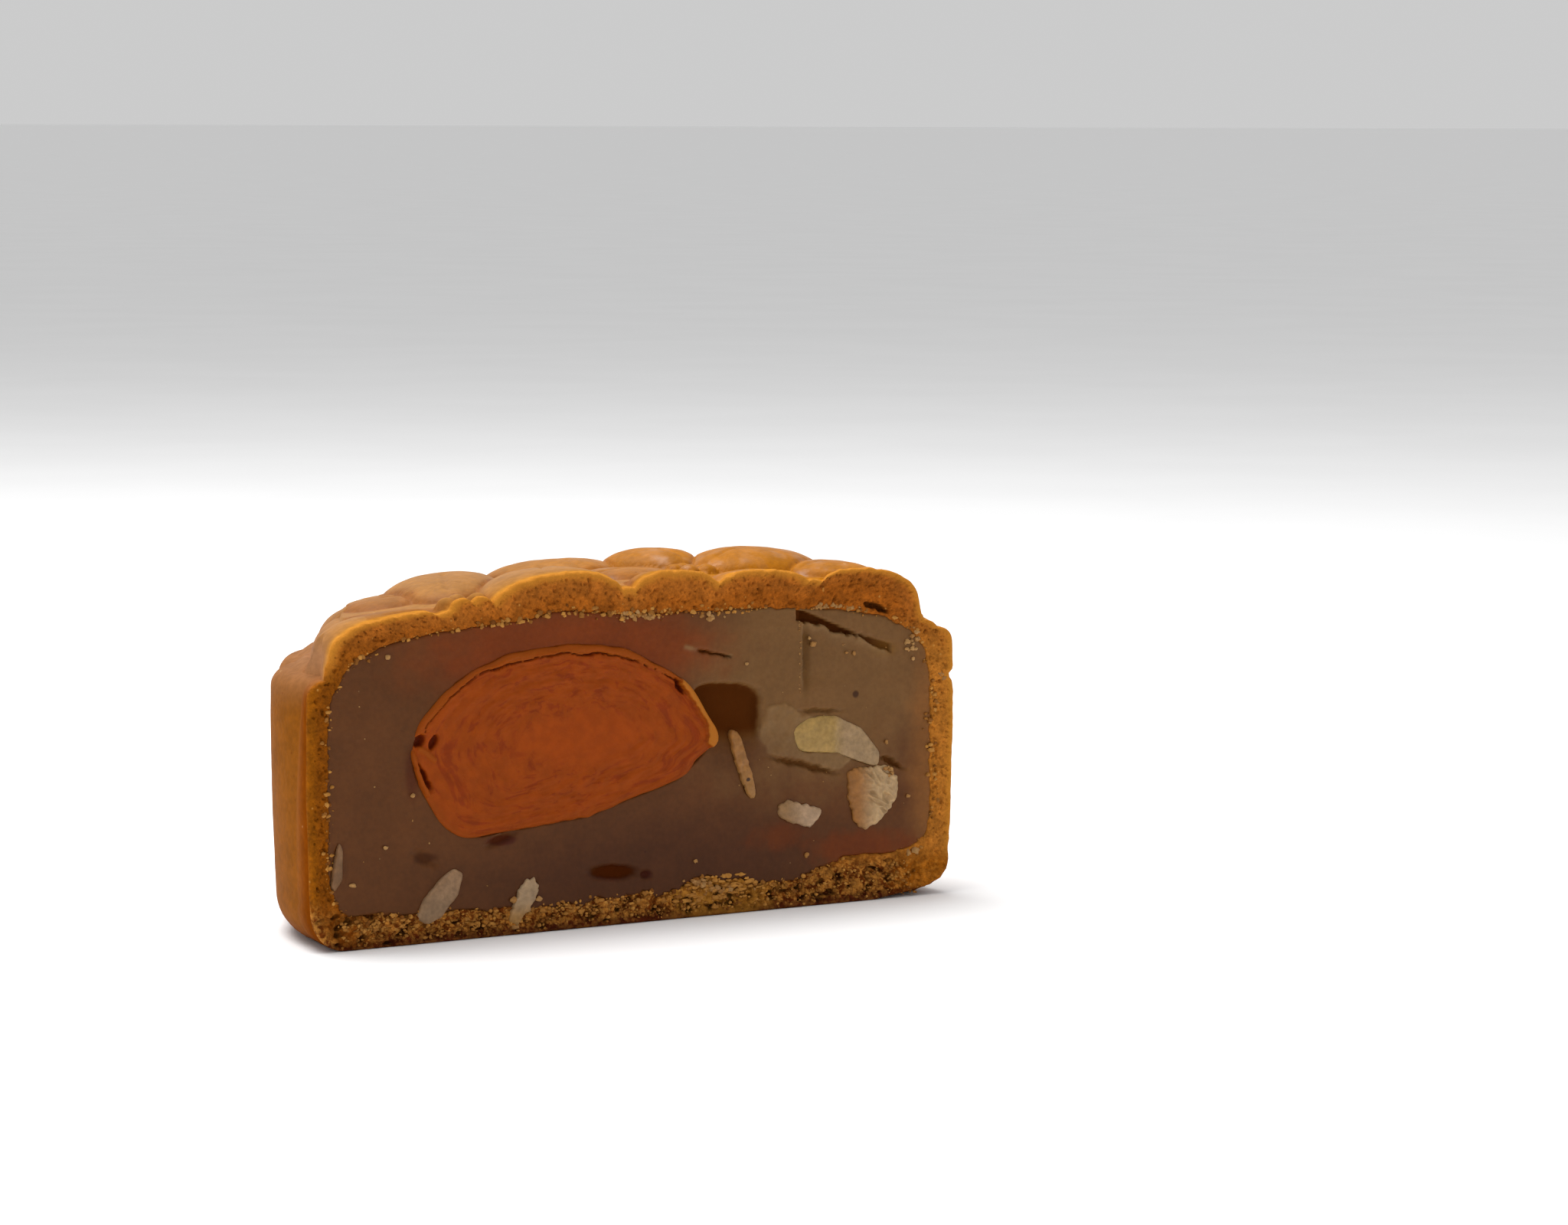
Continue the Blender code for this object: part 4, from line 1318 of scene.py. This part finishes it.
def skin_material():
    """Baked skin: dull tan on the wall, golden and slightly glossy on the relief."""
    material, tree, shader = new_material("baked skin", 0.5, 0.06)
    here = use(tree, PLACE)
    x, behind, z = here["X"], here["Behind"], here["Z"]
    higher = between(tree, z, 24.0, 31.0)
    wall = blend(tree, higher, seen(146, 90, 42, WALL), seen(157, 113, 80, WALL))
    rightward = between(tree, x, -12.0, 15.0)
    top = blend(tree, rightward, seen(200, 143, 86, TOP), seen(208, 136, 54, TOP))
    colour = blend(tree, between(tree, z, 30.5, 34.5), wall, top)
    # Painted shade: the creases between petals are drawn darker orange-brown, less so to the right
    crease = both(tree, stored(tree, "crease"), between(tree, x, 0.0, 12.0, 1.0, 0.3))
    colour = tinted(tree, colour, crease, 0.5, seen(156, 88, 30, TOP))
    at_cut = both(tree, between(tree, behind, 1.6, 0.3), between(tree, z, 26.0, 32.0))
    colour = tinted(tree, colour, at_cut, 0.8, seen(208, 140, 56, RIM))
    # Painted shade: the lower wall beside the cut, where a flute's groove lies, is drawn darker orange-brown
    below = both(tree, between(tree, behind, 6.0, 0.4), between(tree, z, 30.0, 26.0))
    colour = tinted(tree, colour, below, 0.9, seen(130, 68, 18, RIM))
    colour = blend(tree, between(tree, z, 3.0, 0.4, 0.0, 0.7), colour, seen(104, 54, 18, FRONT))
    colour = mottled(tree, colour, 3.5, 0.1)
    colour = mottled(tree, colour, 0.7, 0.1, 3.0)
    colour = tinted(tree, colour, specks(tree, 2.2, 0.24, 0.16), 0.6, seen(214, 170, 120, WALL))
    colour = tinted(tree, colour, specks(tree, 1.3, 0.2, 0.12), 0.45, seen(120, 66, 26, WALL))
    feed(tree, shader["Base Color"], colour)
    feed(tree, shader["Roughness"], between(tree, z, 30.0, 35.0, 0.6, 0.42))
    shine = between(tree, behind, 0.8, 6.0, 0.0, 0.06)
    feed(tree, shader["Specular IOR Level"], both(tree, between(tree, z, 30.0, 33.0, 0.25, 1.0), shine))
    cloud = add(tree, "TexNoise", Vector=here["Place"], Scale=0.4, Detail=3.0).outputs[0]
    glint = both(tree, between(tree, cloud, 0.46, 0.66, 0.04, 0.45), rightward)
    feed(tree, shader["Coat Weight"], both(tree, glint, between(tree, z, 32.0, 34.5)))
    shader["Coat Roughness"].default_value = 0.3
    feed(tree, shader["Normal"], use(tree, GRAIN, Size=0.45, Height=0.08)["Normal"])
    return material


def crumb_material():
    """Cut crust: orange-brown crumb with a golden skin edge, darker and coarser at the bottom."""
    material, tree, shader = new_material("crust crumb", 0.75, 0.05)
    here = use(tree, PLACE)
    x, z, edge = here["X"], here["Z"], stored(tree, "edge")
    rightward = between(tree, x, -34.0, 30.0)
    side = blend(tree, rightward, seen(138, 80, 25, FRONT), seen(169, 106, 44, FRONT))
    top = blend(tree, between(tree, x, 4.0, 18.0), seen(164, 96, 40, FRONT), seen(158, 91, 38, FRONT))
    colour = blend(tree, between(tree, z, 27.0, 33.0), side, top)
    low = between(tree, z, 6.0, 3.4)
    lump = add(tree, "TexNoise", Vector=here["Place"], Scale=1.5, Detail=4.0, Roughness=0.65).outputs[0]
    coarse = blend(tree, between(tree, lump, 0.4, 0.6), seen(103, 53, 17, FRONT), seen(178, 119, 55, FRONT))
    coarse = tinted(tree, coarse, between(tree, x, 30.0, 36.0), 0.75, seen(160, 94, 30, FRONT))
    colour = blend(tree, low, colour, coarse)
    base = between(tree, maths(tree, "ADD", z, lump), 1.9, 1.0)
    colour = tinted(tree, colour, base, 0.7, seen(66, 30, 9, FRONT))
    inner = both(tree, between(tree, edge, 1.5, 3.6), between(tree, z, 28.0, 33.0))
    colour = tinted(tree, colour, inner, 0.5, seen(140, 74, 24, FRONT))
    left = both(tree, between(tree, edge, 0.5, 1.3), between(tree, x, -30.0, -37.0))
    colour = tinted(tree, colour, left, 0.7, seen(126, 70, 22, FRONT))
    colour = mottled(tree, colour, 1.6, 0.2)
    colour = mottled(tree, colour, 0.35, 0.22, 5.0)
    colour = tinted(tree, colour, patch(tree, *YELLOW_CRUMB), 0.5, seen(164, 114, 46, FRONT))
    colour = tinted(tree, colour, specks(tree, 0.9, 0.17, 0.25), 0.5, seen(200, 146, 76, FRONT))
    golden = between(tree, x, -20.0, 20.0, 0.0, 0.9)
    golden = maths(tree, "MAXIMUM", golden, between(tree, z, 28.0, 32.0))
    golden = both(tree, golden, between(tree, edge, 1.4, 0.1))
    golden = both(tree, golden, maths(tree, "SUBTRACT", 1.0, low))
    colour = tinted(tree, colour, golden, 0.9, seen(210, 138, 54, RIM))
    # Painted shade: the crumb is drawn darker the deeper its pores and caves lie behind the cut
    colour = shaded(tree, colour, between(tree, stored(tree, "deep"), 0.1, 0.7, 1.0, 0.45))
    feed(tree, shader["Base Color"], colour)
    feed(tree, shader["Normal"], use(tree, GRAIN, Size=0.3, Height=0.2)["Normal"])
    return material


def paste_material():
    """White lotus paste: dense, oily and grey-brown, redder over the yolk and paler where torn."""
    material, tree, shader = new_material("lotus paste", 0.4, 0.12)
    colour = seen(92, 57, 34, FRONT)
    for *shape, strength, tone in PASTE_PATCHES.values():
        colour = tinted(tree, colour, patch(tree, *shape), strength, seen(*tone, FRONT))
    colour = blend(tree, stored(tree, "torn"), colour, seen(128, 99, 66, FRONT))
    colour = mottled(tree, colour, 5.0, 0.08)
    colour = mottled(tree, colour, 0.5, 0.07, 2.0)
    colour = tinted(tree, colour, specks(tree, 3.4, 0.16, 0.2), 0.6, seen(54, 30, 16, FRONT))
    colour = tinted(tree, colour, specks(tree, 2.3, 0.1, 0.25), 0.5, seen(140, 108, 74, FRONT))
    deep = stored(tree, "deep")
    # Painted shade: the hollow, cracks, gaps and pits are drawn dark warm brown and darker still the deeper
    # they go
    colour = tinted(tree, colour, between(tree, deep, 0.25, 0.8), 0.92, seen(79, 43, 17, FRONT))
    colour = shaded(tree, colour, between(tree, deep, 0.4, 1.6, 1.0, 0.85))
    feed(tree, shader["Base Color"], colour)
    feed(tree, shader["Specular IOR Level"], between(tree, deep, 0.15, 0.5, 0.12, 0.0))
    waxy(shader, 0.25, (1.0, 0.5, 0.25), 0.0015)
    feed(tree, shader["Normal"], use(tree, GRAIN, Size=0.8, Height=0.06)["Normal"])
    return material


def yolk_material():
    """Salted yolk: waxy orange flesh with wavy red-brown veins, a smooth middle and a paler skin."""
    material, tree, shader = new_material("egg yolk", 0.5, 0.08)
    here = use(tree, PLACE)
    colour = seen(141, 65, 14, FRONT)
    turning = add(tree, "Attribute", {"attribute_name": "round"}).outputs["Vector"]
    veins = add(tree, "TexNoise", Vector=turning, Scale=1.7, Detail=7.0, Roughness=0.66)
    veins.inputs["Distortion"].default_value = 0.8
    middle = patch(tree, *SMOOTH_YOLK)
    vein = both(tree, between(tree, veins.outputs[0], 0.5, 0.38), maths(tree, "SUBTRACT", 1.0, middle))
    colour = tinted(tree, colour, vein, 0.75, seen(122, 50, 2, FRONT))
    colour = tinted(tree, colour, middle, 0.8, seen(147, 66, 18, FRONT))
    colour = mottled(tree, colour, 1.2, 0.1)
    near_edge = between(tree, stored(tree, "inset"), 1.4, 0.3)
    low_rim = both(tree, near_edge, between(tree, here["Z"], 22.0, 16.0))
    colour = tinted(tree, colour, low_rim, 0.5, seen(130, 64, 16, FRONT))
    skin = stored(tree, "skin")
    colour = blend(tree, maths(tree, "MINIMUM", skin, 1.0), colour, seen(137, 68, 22, FRONT))
    flap = maths(tree, "MAXIMUM", maths(tree, "SUBTRACT", skin, 1.0), 0.0)
    colour = tinted(tree, colour, flap, 1.6, seen(166, 102, 40, FRONT))
    deep = stored(tree, "deep")
    # Painted shade: the yolk's voids and cracks are drawn dark red-brown and darker the deeper they go
    colour = tinted(tree, colour, between(tree, deep, 0.15, 0.5), 0.8, seen(100, 38, 7, FRONT))
    colour = shaded(tree, colour, between(tree, deep, 0.3, 1.0, 1.0, 0.8))
    feed(tree, shader["Base Color"], colour)
    waxy(shader, 0.2, (1.0, 0.35, 0.1), 0.0015)
    feed(tree, shader["Normal"], use(tree, GRAIN, Size=0.6, Height=0.1)["Normal"])
    return material


def seed_material(name, first, second, low, high, along):
    """Blanched seed, shaded from one colour to another across it. The sliver shows a dark speck."""
    material, tree, shader = new_material(name, 0.35, 0.2)
    across = between(tree, use(tree, PLACE)[along], low, high)
    colour = blend(tree, across, seen(*first, FRONT), seen(*second, FRONT))
    colour = mottled(tree, colour, 0.45, 0.12, 4.0)
    colour = tinted(tree, colour, patch(tree, *SLIVER_SPECK), 0.9, seen(40, 20, 8, FRONT))
    feed(tree, shader["Base Color"], mottled(tree, colour, 1.2, 0.14))
    waxy(shader, 0.3, (1.0, 0.8, 0.5), 0.001)
    feed(tree, shader["Normal"], use(tree, GRAIN, Size=0.5, Height=0.08)["Normal"])
    return material


def crumbs_material(name, first, second):
    """Loose crumbs, each with its own tone."""
    material, tree, shader = new_material(name, 0.7, 0.15)
    colour = blend(tree, stored(tree, "tone"), seen(*first, FRONT), seen(*second, FRONT))
    feed(tree, shader["Base Color"], mottled(tree, colour, 0.3, 0.15))
    return material


def floor_material():
    material, tree, shader = new_material("pale floor", 0.8, 0.1)
    feed(tree, shader["Base Color"], mottled(tree, (0.93, 0.93, 0.93, 1.0), 60.0, 0.01))
    return material


# Studio


def build_camera():
    """The photograph's view: low, from the left of the cut, with the half left of the middle."""
    target = Vector((0, CUT_Y, TARGET_HEIGHT)) * MM
    level = math.cos(VIEW_LIFT)
    outward = Vector((-math.sin(VIEW_TURN) * level, -math.cos(VIEW_TURN) * level, math.sin(VIEW_LIFT)))
    right = Vector((0, 0, 1)).cross(outward).normalized()
    up = outward.cross(right)
    aside = (TARGET_PIXEL[0] - PICTURE_WIDTH / 2) / FOCAL_PIXELS
    below = (TARGET_PIXEL[1] - PICTURE_HEIGHT / 2) / FOCAL_PIXELS
    swing = Vector((0, 0, -1)).rotation_difference(Vector((aside, -below, -1)).normalized()).to_matrix()
    basis = Matrix((right, up, outward)).transposed()
    data = bpy.data.cameras.new("camera")
    data.sensor_width = SENSOR_WIDTH
    data.lens = FOCAL_PIXELS / PICTURE_WIDTH * SENSOR_WIDTH
    camera = bpy.data.objects.new("camera", data)
    camera.matrix_world = (basis @ swing.inverted()).to_4x4()
    camera.location = target + outward * VIEW_DISTANCE * MM
    bpy.context.scene.collection.objects.link(camera)
    bpy.context.scene.camera = camera


def build_floor():
    bm = bmesh.new()
    bmesh.ops.create_grid(bm, x_segments=1, y_segments=1, size=FLOOR_HALF)
    mesh = bpy.data.meshes.new("floor")
    bm.to_mesh(mesh)
    bm.free()
    mesh.materials.append(floor_material())
    floor = bpy.data.objects.new("floor", mesh)
    bpy.context.scene.collection.objects.link(floor)


def build_lights():
    """A white room and one large soft light above, behind and to the left."""
    world = bpy.data.worlds.new("studio")
    world.use_nodes = True
    background = world.node_tree.nodes["Background"].inputs
    background["Color"].default_value = (1, 1, 1, 1)
    background["Strength"].default_value = ROOM_STRENGTH
    bpy.context.scene.world = world
    data = bpy.data.lights.new("overhead", "AREA")
    data.size = OVERHEAD_SIZE
    data.energy = OVERHEAD_POWER
    light = bpy.data.objects.new("overhead", data)
    light.location = OVERHEAD_PLACE
    aim = Vector(OVERHEAD_TARGET) - light.location
    light.rotation_euler = aim.to_track_quat("-Z", "Y").to_euler()
    bpy.context.scene.collection.objects.link(light)
    bpy.context.scene.view_settings.view_transform = "Standard"


def build_half():
    """Every piece of the half, from the skin to the loose crumbs."""
    finish_piece("crust_skin", crust_skin_mesh(), skin_material(), "crust")
    finish_piece("crust_cut", crust_cut_mesh(), crumb_material())
    finish_piece("paste", paste_mesh(), paste_material(), "lotus_paste")
    finish_piece("yolk", yolk_mesh(), yolk_material(), "egg_yolk")
    for name, flesh in SEED_FLESH.items():
        finish_piece(name, seed_mesh(name), seed_material(*flesh), name)
    golden = crumbs_material("golden crumbs", (108, 62, 22), (182, 128, 62))
    finish_piece("crust_crumbs", crust_crumbs_mesh(), golden)
    flour = crumbs_material("pale crumbs", (146, 102, 56), (170, 130, 82))
    finish_piece("pale_crumbs", pale_crumbs_mesh(), flour)


build_half()
build_floor()
build_lights()
build_camera()
